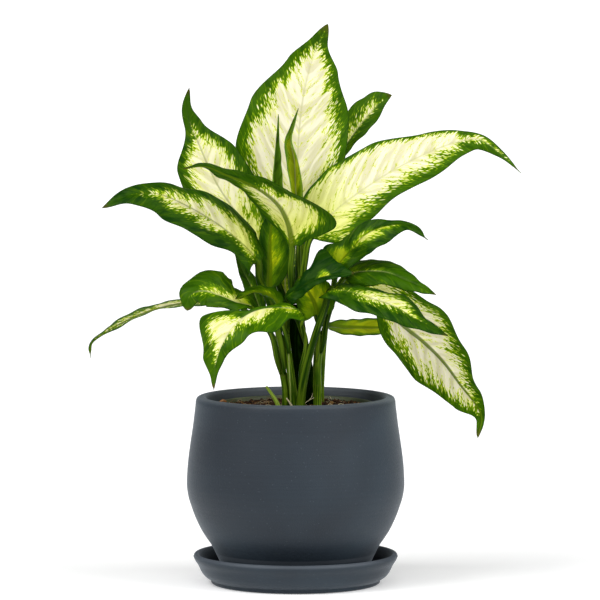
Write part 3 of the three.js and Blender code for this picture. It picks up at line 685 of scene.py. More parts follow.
@dataclass
class Piece:
    """One visible piece: a mesh in millimetres with its finish and its place in the frame."""

    name: str
    mesh: Mesh
    finish: Finish
    stands_for: str = ""
    fields: dict[str, np.ndarray] | None = None

    def place(self, material: bpy.types.Material) -> None:
        """Makes the Blender object and ties it to the frame.

        Args:
            material: What its finish has made.
        """
        points, faces = self.mesh
        mesh = bpy.data.meshes.new(self.name)
        mesh.from_pydata((points * MM).tolist(), [], faces)
        mesh.update()
        for key, values in (self.fields or {}).items():
            made = mesh.attributes.new(key, "FLOAT", "POINT")
            made.data.foreach_set("value", np.ascontiguousarray(values, dtype=np.float32))
        mesh.materials.append(material)
        mesh.shade_smooth()
        made = bpy.data.objects.new(self.name, mesh)
        bpy.context.scene.collection.objects.link(made)
        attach(made, "root")
        if self.stands_for:
            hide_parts(self.stands_for)
        LOG.info("%s: %d corners, %d faces", self.name, len(points), len(faces))


def loft(rings: np.ndarray) -> Mesh:
    """Skins a run of rings, with a fan over each end.

    Args:
        rings: Places by ring, corner and axis.

    Returns:
        The points and the faces, which look outward.
    """
    count, around = rings.shape[:2]
    index = np.arange(count * around).reshape(count, around)
    ahead = np.roll(index, -1, axis=1)
    quads = np.stack([index[:-1], ahead[:-1], ahead[1:], index[1:]], axis=-1).reshape(-1, 4)
    points = np.vstack([rings.reshape(-1, 3), rings[0].mean(0), rings[-1].mean(0)])
    first, last = count * around, count * around + 1
    faces = quads.tolist()
    faces += np.stack([ahead[0], index[0], np.full(around, first)], axis=-1).tolist()
    faces += np.stack([index[-1], ahead[-1], np.full(around, last)], axis=-1).tolist()
    # The signed volume tells which way the faces look.
    a, b, c, d = (points[quads[:, i]] for i in range(4))
    volume = np.einsum("ij,ij->i", a, np.cross(b, c) + np.cross(c, d)).sum()
    return points, faces if volume >= 0 else [face[::-1] for face in faces]


def ends_too(values: np.ndarray) -> np.ndarray:
    """A field of rings by corners, with the mean of each end ring added for the fans."""
    return np.concatenate([values.ravel(), [values[0].mean(), values[-1].mean()]])


def turned(profile: np.ndarray, steps: int = 128) -> Mesh:
    """A turned shape about the Z axis.

    Args:
        profile: Radius and height pairs from the middle of the underside to the middle inside.
        steps: How many steps round.

    Returns:
        The points and the faces.
    """
    turn = angles(steps)
    radius, height = profile[:, :1], np.broadcast_to(profile[:, 1:], (len(profile), steps))
    return loft(np.stack([radius * np.cos(turn), radius * np.sin(turn), height], axis=-1))


def smooth_run(pairs: Sequence[Pair], count: int) -> np.ndarray:
    """Points spread evenly along a smooth curve through radius and height pairs."""
    line = Line([(radius, 0.0, height) for radius, height in pairs])
    return line.at(np.linspace(0, line.total, count))[:, [0, 2]]


def tube(
    line: Line, radius: np.ndarray, sides: int, flat: float = 1.0, turn: float = 0.0
) -> np.ndarray:
    """Rings of a round or flattened tube along a line.

    Args:
        line: Its middle.
        radius: Its radius at evenly spaced rings.
        sides: Corners to a ring.
        flat: Its thickness as a share of its width.
        turn: How far it twists from end to end, in radians.

    Returns:
        The rings.
    """
    distance = np.linspace(0, line.total, len(radius))
    _, across, normal = line.frame(distance, np.array([0.13, -1.0, 0.07]))
    spin = (turn * distance / line.total)[:, None]
    normal, across = (
        normal * np.cos(spin) + across * np.sin(spin),
        across * np.cos(spin) - normal * np.sin(spin),
    )
    angle = angles(sides)[:, None]
    out = normal[:, None] * np.cos(angle) * flat + across[:, None] * np.sin(angle)
    return line.at(distance)[:, None] + out * radius[:, None, None]


@dataclass(frozen=True)
class Stem:
    """A stem wrapped in old leaf sheaths, with rings where leaves have dropped."""

    name: str
    seed: int
    radius: Pair
    line: tuple[Point, ...]
    twist: float = 0.03
    finish: Finish = STEM

    SIDES = 36
    RING_GAP = 0.9
    LAP_WIDTH = 0.35

    def path(self) -> Line:
        """The stem's middle, carried straight on down into the soil."""
        x, y, z = self.line[0]
        return Line([(x, y, z - STEM_DEPTH), *self.line])

    def radius_at(self, share: float) -> float:
        """Radius at a share of the whole length."""
        return self.radius[0] + (self.radius[1] - self.radius[0]) * share

    def build(self) -> Piece:
        """Lofts the stem.

        Returns:
            The piece, which stands for the stem's node.
        """
        rng = np.random.default_rng(self.seed)
        path = self.path()
        distance = np.linspace(0, path.total, int(path.total / self.RING_GAP))
        angle = angles(self.SIDES)
        radius = np.interp(distance, [0, path.total], self.radius)[:, None]
        scars = STEM_DEPTH + 5 + np.cumsum(rng.uniform(8, 15, 8))
        swell = sum(bell(distance - scar, 1.4) for scar in scars)[:, None]
        ring = sum(bell(distance - scar - 0.5, 0.45) for scar in scars)[:, None]
        # A sheath laps once round the stem, and its edge winds slowly up it.
        wound = self.twist * distance[:, None]
        lap = ((angle - rng.uniform(0, 6) - wound) / (2 * math.pi)) % 1.0
        crease = bell(np.minimum(lap, 1 - lap) * 2 * math.pi * radius, self.LAP_WIDTH)
        size = radius * (0.95 + 0.07 * lap + 0.05 * swell - 0.03 * ring)
        _, across, normal = path.frame(distance, np.array([0.0, -1.0, 0.0]))
        out = normal[:, None] * np.cos(angle)[:, None] + across[:, None] * np.sin(angle)[:, None]
        mesh = loft(path.at(distance)[:, None] + out * size[..., None])
        fields = {
            "around": np.abs(angle - math.pi) * radius + 3.0 * self.seed,
            "height": np.broadcast_to(distance[:, None] - STEM_DEPTH, lap.shape),
            "crease": crease,
            "ring": np.broadcast_to(ring, lap.shape),
        }
        fields = {key: ends_too(values) for key, values in fields.items()}
        return Piece(f"{self.name}_stem", mesh, self.finish, f"stem_{self.name}", fields)


STEMS = {stem.name: stem for stem in (
    Stem("left", 2, (3.2, 2.6),
         ((-7.5, -6, 134), (-7.5, -6, 146.5), (-10, -6, 163), (-13, -6, 179))),
    Stem("front", 3, (3.3, 2.8),
         ((-1, -10, 133), (-1.5, -10, 143.5), (-4.5, -9, 167), (-7.5, -8, 190))),
    Stem("main", 4, (10, 5.2),
         ((7.5, 7, 139), (7, 7, 150.5), (5, 8, 169.5), (2, 8, 188.5), (1, 8, 211.5)),
         twist=0.015, finish=SHADED_TRUNK),
    Stem("right", 5, (3.5, 3.1),
         ((16.5, -5, 132.5), (16.5, -5, 143), (16.5, -5, 170.5), (19, -5, 189.5))),
    Stem("back", 6, (2.4, 2.2),
         ((19.5, 10, 138.5), (19.5, 10, 147.5), (21, 9, 175.5), (22.5, 9, 192))),
)}


class Grows(Enum):
    """What a leaf's stalk starts from."""

    ON_STEM = "beside a stem, at a height and a bearing"
    ON_STALK = "beside another leaf's stalk, at a height and a bearing"
    OVER_STEM = "from the top of a stem, at an offset"
    IN_SOIL = "from a place on the soil"


@dataclass(frozen=True)
class Start:
    """Where a stalk starts: on what, and the numbers that its way of growing needs."""

    carrier: str
    spot: tuple[float, ...]
    grows: Grows = Grows.ON_STEM


@dataclass(frozen=True)
class Leaf:
    """A leaf: its stalk, rib and blade. Lengths in millimetres, angles in degrees.

    radius is the stalk's, at its foot and at the blade. left and right are half widths at
    STATIONS, and without right both sides are alike. widest is where the blade is widest, and
    fullness is how blunt its ends are. Pairs of face run from base to tip, and pairs of fold, curl
    and margin are for the left and the right side. wave is the height and the number of an edge's
    waves, lobe is how far the base reaches back, bulge is the place and the height of a swelling
    on the left side, and quilt is the height between veins. margin is how wide the green rim is,
    and from green_from on it widens to the tip. lime and dry are how lime the heart and how dried
    the tip is, and the field after them is how far the margin and the stalk are darkened, partly
    for a darker green and partly as painted shade.
    """

    name: str
    start: Start
    stalk: tuple[Point, ...]
    radius: Pair
    rib: tuple[Point, ...]
    left: tuple[float, ...]
    right: tuple[float, ...] = ()
    widest: float = 0.4
    fullness: float = 0.62
    face: tuple[Point, Point] = ((0, -1, 0), (0, -1, 0))
    fold: Pair = (15, 15)
    curl: Pair = (20, 20)
    wave: Pair = (1.2, 2)
    lobe: float = 0.25
    bulge: Pair = (0.5, 0.0)
    quilt: float = 0.3
    margin: Pair = (7, 7)
    green_from: float = 0.85
    lime: float = 0.1
    dry: float = 0.5
    dark_and_shade: float = 0.0
    finish: Finish = LEAF

    # Spaces between rows, and columns from the rib to an edge.
    STALK_ROW, BLADE_ROW = 2.5, 1.4
    HALF_COLUMNS = 17
    # A stalk's section runs this far round from its top, and has a channel there.
    SHOULDER = math.radians(78)
    CHANNEL_DEPTH, CHANNEL_WIDTH = 0.42, 0.42
    # The blade's half thickness, its least half width and the gutter over its rib.
    THICKNESS, LEAST_WIDTH = 0.45, 0.35
    GUTTER_DEPTH, GUTTER_WIDTH = 0.5, 0.8
    # Height and number of the small waves of every edge.
    FRILL = (0.5, 6.0)
    BULGE_WIDTH = 0.05
    VEIN_SLANT = 0.65
    # The netted band inside the green rim is at most this wide.
    NET_WIDTH = 6.0
    # Leaves lie this far apart in the patterns, so that no two are alike.
    PATTERN_SHIFT = 61.7

    def start_points(self) -> list[np.ndarray]:
        """The first points of the leaf's line.

        Returns:
            One point over a stem, or else two.
        """
        spot = self.start.spot
        if self.start.grows is Grows.IN_SOIL:
            return [np.array(spot) - (0, 0, STEM_DEPTH), np.array(spot)]
        if self.start.grows is Grows.OVER_STEM:
            top = np.array(STEMS[self.start.carrier].line[-1])
            return [top + (*spot, GAP + 0.4)]
        height, bearing = spot[0], math.radians(spot[1])
        away = np.array([math.cos(bearing), math.sin(bearing), 0.0])
        lower, radius = self._carrier(height)
        upper, _ = self._carrier(height + 9)
        reach = radius + self.radius[0] + GAP
        foot_reach = radius + FOOT_SHARE * self.radius[0] + GAP
        return [lower + away * foot_reach, upper + away * (reach + 0.2)]

    def _carrier(self, height: float) -> tuple[np.ndarray, float]:
        """The middle and the radius of what carries the stalk, at a height.

        Args:
            height: The height.

        Returns:
            The point in the middle, and the radius.
        """
        if self.start.grows is Grows.ON_STALK:
            other = LEAVES[self.start.carrier]
            point, share = Line([*other.start_points(), *other.stalk]).at_height(height)
            return point, float(other.stalk_radius(share))
        stem = STEMS[self.start.carrier]
        point, share = stem.path().at_height(height)
        return point, stem.radius_at(share)

    def stalk_radius(self, share: np.ndarray | float) -> np.ndarray:
        """Radius at a share of the stalk: slim at a foot on a stem, then full, then narrowing.

        Args:
            share: Shares of the stalk's length.

        Returns:
            The radius at each.
        """
        wide, slim = self.radius
        full = wide + (slim - wide) * np.minimum(np.multiply(share, 1.6), 1.0)
        if self.start.grows in (Grows.IN_SOIL, Grows.OVER_STEM):
            return full
        return full * (FOOT_SHARE + (1 - FOOT_SHARE) * np.minimum(np.multiply(share, 4.0), 1.0))

    def half_width(self, side: int, share: np.ndarray) -> np.ndarray:
        """Half width of one side of the blade.

        Args:
            side: -1 for the left side and 1 for the right.
            share: Shares of the blade's length.

        Returns:
            The half widths.
        """
        widths = self.left if side < 0 else self.right or self.left
        taper = self.fullness * (1 - self.widest) / self.widest

        def plain(at: np.ndarray | float) -> np.ndarray | float:
            """A plain leaf outline with height 1 where it is widest."""
            return (at / self.widest) ** self.fullness * ((1 - at) / (1 - self.widest)) ** taper

        factors = [width / plain(at) for width, at in zip(widths, STATIONS)]
        factor = np.full(share.shape, factors[0])
        for i in range(len(STATIONS) - 1):
            rise = factors[i + 1] - factors[i]
            factor += rise * ease(STATIONS[i], STATIONS[i + 1], share)
        inner = np.clip(share, 0.0, 1.0)
        width = factor * plain(inner)
        if side < 0:
            width = width + self.bulge[1] * bell(inner - self.bulge[0], self.BULGE_WIDTH)
        return np.where((share <= 0) | (share >= 1), 0.0, np.maximum(width, 0.0))

    def _columns(self) -> tuple[np.ndarray, np.ndarray, np.ndarray]:
        """The columns round a section, closer together at the rib and at the edges.

        Returns:
            Each one's share of the way out to the edge, its side, -1 or 1, and its face, 1 above
            and -1 below.
        """
        s = np.arange(self.HALF_COLUMNS + 1) / self.HALF_COLUMNS
        spread = 0.35 * s + 0.65 * 0.5 * (1 - np.cos(math.pi * s))
        over = np.concatenate([-spread[:0:-1], spread])
        signed = np.concatenate([over, over[::-1]])[None, :]
        face = np.repeat([1.0, -1.0], len(over))[None, :]
        return np.abs(signed), np.sign(signed), face

    def _waves(self, q: np.ndarray, u: np.ndarray, right: np.ndarray) -> np.ndarray:
        """How far the edge's waves and frills lift the blade.

        Args:
            q: Shares of the way out to the edge.
            u: Shares of the way along the blade.
            right: 1 on the right side and 0 on the left.

        Returns:
            The lift.
        """
        swing = np.sqrt(np.sin(math.pi * u) + 1e-9)
        turn = 2 * math.pi * u
        wave = self.wave[0] * q ** 2 * np.sin(self.wave[1] * turn + right * 1.7)
        frill = self.FRILL[0] * q ** 3 * np.sin(self.FRILL[1] * turn + right * 2.4)
        return (wave + frill) * swing

    def build(self, seed: int) -> Piece:
        """Lofts the leaf.

        Args:
            seed: Its number, which moves its patterns.

        Returns:
            The piece, which stands for the leaf's node.
        """
        # Rows, up the stalk and along the blade, where they are closer together at both ends.
        start = self.start_points()
        line = Line([*start, *self.stalk, *self.rib])
        blade_start = line.distance_of(len(start) + len(self.stalk))
        blade_length = line.total - blade_start
        stalk_rows = max(8, int(blade_start / self.STALK_ROW))
        blade_rows = max(48, int(blade_length / self.BLADE_ROW))
        t = np.arange(blade_rows + 1) / blade_rows
        along_blade = 0.5 * t + 0.25 * (1 - np.cos(math.pi * t))
        u = np.concatenate([np.zeros(stalk_rows), along_blade])[:, None]
        stalk_share = np.concatenate([np.arange(stalk_rows) / stalk_rows, np.ones(blade_rows + 1)])
        distance = stalk_share * blade_start + u[:, 0] * blade_length
        on_stalk = (np.arange(len(distance)) < stalk_rows)[:, None]
        stalk_share = stalk_share[:, None]
        base, tip = unit(np.array(self.face, float))
        along, across, normal = line.frame(distance, base + (tip - base) * ease(0, 1, u))

        # Sizes: the rib's radius, the blade's reach and how far it has opened from the stalk.
        q, side, face = self._columns()
        rib_radius = self.radius[1] * (1 - u) ** 0.8 + 0.25
        thick = np.where(on_stalk, self.stalk_radius(stalk_share), rib_radius)
        left = np.where(on_stalk, 0.0, self.half_width(-1, u))
        right = np.where(on_stalk, 0.0, self.half_width(1, u))
        flat = np.where(on_stalk, 0.0, ease(1, 3, (left + right) / 2 / thick))
        slim = ease(0, 0.2, u)
        least = thick * (1 - slim) + self.LEAST_WIDTH * slim
        reach = np.maximum(np.where(side < 0, left, right), least)
        far = q * reach
        room = reach * (1 - q)
        widest = np.where(side < 0, left.max(), right.max())
        vein = u * blade_length - far - self.VEIN_SLANT * far ** 2 / widest

        # The stalk is round with a channel on top.
        opened = np.where(on_stalk, ease(0.1, 0.4, stalk_share), 1.0)
        channel = self.CHANNEL_DEPTH * bell(q, self.CHANNEL_WIDTH) * opened
        stalk_wide = side * thick * np.sin(q * self.SHOULDER)
        stalk_high = face * thick * np.cos(q * self.SHOULDER) - thick * channel * (face > 0)

        # The blade is folded, arched, waved and quilted, with a gutter over its keel.
        pick = (side >= 0).astype(int)
        fold = np.radians(np.array(self.fold, float))[pick] * flat
        curl = np.radians(np.array(self.curl, float))[pick] * flat + 1e-5
        blade_wide = side * reach * (np.sin(fold) - np.sin(fold - curl * q)) / curl
        arch = reach * (np.cos(fold - curl * q) - np.cos(fold)) / curl
        field = ease(1.0, 4.0, far) * ease(0.0, 2.5, room)
        quilted = self.quilt * field * np.cos(2 * math.pi * vein / VEIN_GAP)
        keel = thick * bell(far / np.maximum(thick, 0.3), 1.0)
        gutter = self.GUTTER_DEPTH * bell(far, self.GUTTER_WIDTH) * ease(1.0, 0.7, u)
        half = self.THICKNESS * (1 - 0.6 * q ** 3)
        depth = np.where(face > 0, half - gutter, -half - keel)
        blade_high = arch + (self._waves(q, u, pick) + quilted) * flat + depth
        sweep = -self.lobe * q ** 1.5 * reach * flat * (1 - u) ** 3

        wide = stalk_wide + (blade_wide - stalk_wide) * flat
        high = stalk_high + (blade_high - stalk_high) * flat
        rings = line.at(distance)[:, None] + across[:, None] * wide[..., None]
        rings = rings + normal[:, None] * high[..., None] + along[:, None] * sweep[..., None]

        margin = np.array(self.margin)[pick] * (0.55 + 0.45 * ease(0, 0.25, u))
        margin = margin * (1.0 + 2.0 * ease(self.green_from, self.green_from + 0.25, u))
        from_blade = distance[:, None] - blade_start
        shift = self.PATTERN_SHIFT * seed
        fields = {
            "edge": (room - margin) / np.minimum(margin, self.NET_WIDTH) + 1.0,
            "rim": room,
            "along": from_blade + shift,
            "vein": np.where(on_stalk, from_blade, vein) + shift,
            "side": side * far,
            "share": u,
            "under": face < 0,
            "blade": flat,
            "rib": np.maximum(thick, 0.3),
            "lime": self.lime,
            "dry": self.dry,
            "dark_and_shade": self.dark_and_shade,
        }
        even = np.ones_like(far)
        fields = {key: ends_too(values * even) for key, values in fields.items()}
        return Piece(f"{self.name}_leaf", loft(rings), self.finish, f"leaf_{self.name}", fields)


LEAVES = {leaf.name: leaf for leaf in (
    Leaf("top", Start("main", (206, 55)),
        stalk=((5.5, 21, 243),), radius=(3, 2.6),
        rib=((4, 24, 259.5), (2, 33, 293.5), (2, 40, 331.5),
             (6.5, 46, 371.5), (15, 49, 402), (24.5, 46, 423.5)), left=(9, 34, 48, 40, 18.5, 6),
        right=(8, 30, 37, 36.5, 21.8, 5.8), widest=0.47, face=((-0.1, -1, 0.25), (0.1, -1, 0.35)),
        fold=(14, 14), curl=(22, 22), wave=(1.5, 2.5), lobe=0.1, margin=(8, 7), green_from=1,
        lime=0.0),
    Leaf("upper_left", Start("main", (200, 150)),
        stalk=((-12, 13, 224),), radius=(2.8, 2.4),
        rib=((-21, 14, 247.5), (-38, 18, 271.5), (-58.5, 23, 300),
             (-72, 26, 328.5), (-82.5, 27, 357), (-81, 25, 376)), left=(8, 18, 25.7, 24, 5, 3),
        right=(8, 19, 28, 25.3, 9, 2.5), widest=0.45, face=((0.15, -1, 0.3), (0, -1, 0.3)),
        fold=(16, 16), curl=(25, 25), green_from=0.75, dark_and_shade=0.3, lime=0.12),
    Leaf("arching", Start("main", (182, 205)),
        stalk=((-3, -6, 224), (-3.5, -11, 241)), radius=(2.8, 2.3),
        rib=((-2.5, -14, 257), (-5.5, -22, 275), (-12.5, -31, 289.5), (-24.5, -40, 301),
             (-38.5, -48, 309), (-52.5, -56, 315), (-68, -62, 321.5), (-84, -66, 319.5)),
        left=(11, 43, 21, 14, 9, 6), right=(8, 22, 24, 17.5, 10, 5), widest=0.36,
        face=((0.35, 0.85, 0.35), (0.1, 0.5, 0.85)), fold=(8, 30), curl=(35, 20), lobe=0.26,
        margin=(11, 5), green_from=0.48, dark_and_shade=0.35, lime=0.12),
    Leaf("left", Start("left", (160, 292)),
        stalk=((-11.5, -12, 186.5), (-19.5, -11.5, 215), (-27, -12.5, 232)), radius=(2.4, 3),
        rib=((-28.5, -15, 246), (-39.5, -22, 259.5), (-58.5, -30, 275.5), (-82, -38, 290),
             (-103, -43, 299), (-124, -47, 298.5), (-145, -49, 289)),
        left=(11, 12.8, 20.5, 20.5, 11, 4), right=(13, 23, 23, 16, 8, 5), widest=0.42,
        face=((-0.3, -0.6, 0.7), (-0.1, -0.8, 0.6)), fold=(22, 12), curl=(50, 40), wave=(2, 2.5),
        lobe=0.5, margin=(11, 9), green_from=0.78, dark_and_shade=0.5, bulge=(0.05, 6.0)),
    Leaf("inner", Start("front", (180, 80)),
        stalk=((-15.5, -3, 210),), radius=(2.2, 2),
        rib=((-19.5, -2, 223.5), (-19.5, -2, 240.5), (-19.5, -2, 259.5),
             (-18, -4, 275.5), (-16.5, -8, 285)), left=(7, 13, 17, 15, 9, 4),
        right=(5, 7, 8, 9, 7, 3), widest=0.45, face=((0.05, 1, -0.2), (0, 1, -0.3)), fold=(22, 22),
        curl=(15, 15), wave=(0.8, 1.5), lobe=0.1, dark_and_shade=0.45, lime=0.85),
    Leaf("spike", Start("main", (-2.5, -1), Grows.OVER_STEM),
        stalk=((-6.5, 5, 244.5),), radius=(2.2, 2),
        rib=((-14, 6, 272.5), (-17, 7, 299), (-15, 7, 325.5), (-13, 6, 356.5)),
        left=(7, 10, 10, 7, 3, 1.5), widest=0.35, fullness=0.4,
        face=((0.6, -1, 0.1), (0.2, -1, 0.1)), fold=(50, 50), curl=(-35, -35), wave=(0, 1), lobe=0,
        margin=(40, 40), lime=0.5, quilt=0.0, finish=YOUNG_LEAF),
    Leaf("unfurling", Start("main", (1, 3), Grows.OVER_STEM),
        stalk=((2, 8, 244),), radius=(2.2, 2),
        rib=((2, 3, 275), (0, 5, 299), (-1, 7, 321.5), (-3.5, 8, 337), (-1, 8, 348), (2, 7, 361)),
        left=(7, 10, 11.5, 9, 4, 1.5), right=(6, 9, 12, 11, 5, 2), widest=0.42,
        face=((0.5, -1, 0.1), (-0.5, -1, 0.1)), fold=(40, 50), curl=(-30, -50), wave=(0.5, 1),
        lobe=0, margin=(2, 3.5), lime=0.8, quilt=0.0, finish=YOUNG_LEAF),
    Leaf("right", Start("main", (196, 300)),
        stalk=((5, 0, 228.5), (7, 1, 244.5)), radius=(2.8, 2.5),
        rib=((11, 4, 262.5), (28.5, 9, 281.5), (49, 15, 297), (75.5, 22, 313.5), (102.5, 28, 326.5),
             (124, 31, 334), (140.5, 31, 335.5), (155, 28, 326), (171.5, 22, 311)),
        left=(20, 30, 28, 17.5, 4.7, 2.3), right=(21, 22.5, 19.5, 19, 7.5, 1.5),
        face=((-0.3, -1, 0.3), (-0.1, -1, 0.6)), fold=(12, 12), curl=(25, 25), wave=(1.5, 3),
        lobe=0.05, margin=(2.5, 7), green_from=1, lime=0.0),
    Leaf("back_right", Start("back", (182, 150)),
        stalk=((9.5, 26, 221), (6.5, 32, 237.5), (8.5, 38, 256.5)), radius=(2.2, 1.8),
        rib=((23.5, 50, 300), (34, 57, 322.5), (48, 65, 343.5), (62.5, 71, 359.5), (74, 73, 368)),
        left=(7, 11, 13.5, 14, 13, 8.5), right=(1.5, 2.5, 5.5, 8.5, 7.5, 3), widest=0.45,
        face=((-0.2, -1, 0.4), (0, -1, 0.6)), margin=(7.5, 7.5)),
    Leaf("right_mid", Start("right", (176, 300)),
        stalk=((23, -9, 200), (27, -9, 214.5)), radius=(2.4, 2.2),
        rib=((32, -13, 242), (42, -16, 255), (52.5, -19, 266.5),
             (68, -22, 273.5), (85.5, -24, 274), (100, -24, 263)), left=(19, 13, 11, 5.5, 3, 1.5),
        right=(9, 12, 19, 14, 4.5, 1.2), widest=0.35, face=((-0.4, -0.7, 0.6), (-0.1, -0.8, 0.6)),
        curl=(25, 25), wave=(1.5, 2.5), lobe=0.4, margin=(9, 9), green_from=0.7, dark_and_shade=0.5,
        lime=0.5),
    Leaf("right_low", Start("right", (176, 60)),
        stalk=((23.5, -1, 199), (29.5, -4, 220.5)), radius=(2.2, 2.2),
        rib=((38, -8, 234.5), (54, -17, 239), (69.5, -25, 238.5),
             (84.5, -31, 233), (96.5, -35, 228), (105.5, -38, 223)),
        left=(14, 17, 18, 11.5, 6.5, 3), right=(8, 14, 15, 11, 7, 4), widest=0.42,
        face=((-0.2, -0.6, 0.8), (0.2, -0.6, 0.8)), curl=(50, 50), margin=(16, 16), dark_and_shade=0.15,
        lime=0.6),
    Leaf("dark_front", Start("main", (171, 300)),
        stalk=((5.5, -2, 188.5), (0, -9, 204.5)), radius=(1.6, 1.5),
        rib=((-7, -17.5, 219), (2.5, -24, 226.5), (14, -30, 233.5),
             (28, -35, 237.5), (44.5, -39, 239.5)), left=(3, 4, 11, 25, 10, 3),
        right=(9, 8, 6, 4.5, 3, 2), widest=0.45, face=((-0.3, -0.75, 0.5), (0, -0.8, 0.6)),
        fold=(12, 12), wave=(0.6, 1.5), lobe=0, margin=(19, 14), dark_and_shade=0.8, lime=0.7),
    Leaf("hanging_small", Start("right", (170, 262)),
        stalk=((17.5, -11, 192.5),), radius=(2, 1.5),
        rib=((16.5, -12.5, 206), (14.5, -13, 214.5), (8.5, -13, 225.5), (2.5, -13, 235)),
        left=(7, 14, 19, 17, 11, 4), right=(12, 14, 14, 13, 10, 5),
        face=((0.2, 1, 0.2), (0.2, 1, 0.3)), fold=(10, 10), curl=(30, 30), wave=(2, 2), lobe=0.6,
        margin=(4, 4), dark_and_shade=0.2, lime=0.9),
    Leaf("right_front", Start("", (3.5, -19, 134), Grows.IN_SOIL),
        stalk=((5.5, -19, 153), (12.5, -18, 183), (22, -19, 211.5)), radius=(3.8, 2.8),
        rib=((26.5, -24, 225.5), (40, -38, 225.5), (56, -49, 221.5),
             (73.5, -58, 216), (93, -64, 205.5), (114, -68, 194.5)),
        left=(8, 13, 20, 24, 10.5, 5.5), right=(11, 11.5, 17, 15, 8, 4),
        face=((-0.1, -0.5, 0.85), (0.3, -0.5, 0.8)), fold=(10, 10), curl=(45, 45), wave=(1, 2),
        lobe=1.1, margin=(11, 11), dark_and_shade=0.45, lime=0.2),
    Leaf("right_hanging", Start("back", (182, 95)),
        stalk=((29, 11, 215),), radius=(2.2, 2),
        rib=((35.5, 9, 227), (46, 10, 229.5), (65.5, 13, 214), (82, 17, 195.5), (97, 20, 183),
             (112.5, 22, 167.5), (125.5, 23, 150), (142, 20, 126), (139, 14, 109)),
        left=(7, 9, 23.5, 31, 16.5, 4), right=(9, 27, 36, 24.5, 11, 2), widest=0.5,
        face=((0.4, 0.85, 0.4), (0.5, 0.8, 0.2)), fold=(6, 6), margin=(6, 7), lime=0.0),
    Leaf("back_low", Start("back", (160, 120)),
        stalk=((20, 20, 185),), radius=(2, 1.6),
        rib=((23, 24, 194), (38.5, 36, 192.5), (55.5, 44, 191.5), (74, 50, 190), (89.5, 54, 185.5)),
        left=(4, 7.5, 8.5, 7.5, 6, 4), right=(3, 7, 8, 8, 5, 3),
        face=((0.1, 0.9, 0.5), (0.1, 0.9, 0.5)), fold=(10, 10), wave=(0.8, 1.5), margin=(1, 1),
        lime=0.95),
    Leaf("front_left", Start("right_front", (152, 125), Grows.ON_STALK),
        stalk=((8, -13, 182.5), (5, -20, 198)), radius=(2.2, 1.8),
        rib=((2, -29, 210), (-9.5, -38, 213), (-24.5, -50, 213.5), (-37, -60, 209.5),
             (-47.5, -68, 200.5), (-55.5, -72, 187), (-60, -73, 171), (-61, -70, 154.5)),
        left=(15.5, 17.5, 27, 16.5, 4.5, 2), right=(9, 7, 2, 31.5, 13, 2.3), widest=0.48,
        face=((-0.1, -0.5, 0.85), (-0.5, -0.85, 0.2)), fold=(10, 10), curl=(30, 30),
        wave=(2.5, 2.2), margin=(12, 11), lime=0.2, dry=1.0),
    Leaf("left_mid", Start("left", (160, 240)),
        stalk=((-17.5, -14, 188), (-25, -16, 203.5)), radius=(2.1, 2),
        rib=((-33, -16, 212), (-45, -26, 216.5), (-57, -31.5, 222),
             (-69.5, -34, 225.5), (-79.5, -37, 222.5), (-81.5, -38, 211)),
        left=(6, 8, 9.5, 14, 13, 6), right=(18, 24, 20, 19, 11.5, 4.5), widest=0.5,
        face=((0, -0.6, 0.8), (-0.4, -0.8, 0.4)), curl=(30, 30), wave=(1.5, 2), margin=(12, 15),
        dark_and_shade=0.12, lime=0.35),
    Leaf("left_long", Start("left", (168, 95)),
        stalk=((-16.5, 5, 184), (-26, 14, 198.5)), radius=(2.2, 1.6),
        rib=((-48.5, 14, 211.5), (-69, 20, 213.5), (-88, 24, 212), (-109.5, 28, 206.5),
             (-129, 30, 198.5), (-145, 30, 189.5), (-156.5, 30, 180), (-157, 29, 169)),
        left=(7, 13, 12.5, 8.5, 5.5, 2), widest=0.35, face=((0, 0.3, 0.95), (-0.1, 0.3, 0.9)),
        fold=(8, 8), curl=(15, 15), margin=(4, 4), lime=0.05),
    Leaf("left_upright", Start("left", (170, 60)),
        stalk=((-18, 2, 189.5),), radius=(2, 1.6),
        rib=((-26, 5, 206), (-30.5, 6, 217.5), (-35, 7, 228),
             (-39.5, 8, 236), (-43, 8.5, 243.5), (-46, 9, 249.5)), left=(4, 6, 6, 4.5, 2.5, 1),
        right=(4.5, 7, 7.5, 6, 4, 2), face=((-0.3, -1, 0.3), (-0.2, -1, 0.3)), fold=(20, 20),
        wave=(0.8, 1.5), margin=(10, 7), dark_and_shade=0.3, lime=0.6),
    Leaf("curled", Start("front", (176, 278)),
        stalk=((-10.5, -16, 200.5),), radius=(2, 1.5),
        rib=((-12.5, -18, 213), (-16.5, -22, 220), (-23, -25, 224),
             (-31.5, -27, 225), (-38, -28, 222.5), (-45.5, -28, 219)), left=(4, 6.5, 8, 7, 4.5, 3),
        face=((0.1, 0.5, 0.85), (0, 0.5, 0.85)), fold=(20, 20), wave=(0.5, 1.5), margin=(4, 4),
        lime=0.9),
    Leaf("behind_inner", Start("main", (168, 155)),
        stalk=((-5, 20, 197.5),), radius=(2.2, 1.8),
        rib=((-7.5, 23, 210), (-8, 26, 225), (-8, 30, 238), (-6.5, 35, 251)),
        left=(5, 8, 9, 8, 5, 3), face=((0.1, -1, 0.3), (0, -1, 0.4)), fold=(20, 20), wave=(1, 1.5),
        margin=(4, 4), lime=0.7),
    Leaf("rear", Start("main", (170, 110)),
        stalk=((-3, 28, 202),), radius=(2.4, 2),
        rib=((-7.5, 44, 223.5), (-10, 64, 239.5), (-11.5, 88, 245.5),
             (-12, 112, 237.5), (-13, 130, 219)), left=(8, 14, 18, 17, 11, 5), widest=0.42,
        face=((0, -0.3, 0.95), (0, 0.9, 0.4)), curl=(30, 30), wave=(1.5, 2), lime=0.2),
    Leaf("rear_tall", Start("main", (182, 80)),
        stalk=((5.5, 32, 220.5),), radius=(2.5, 2.2),
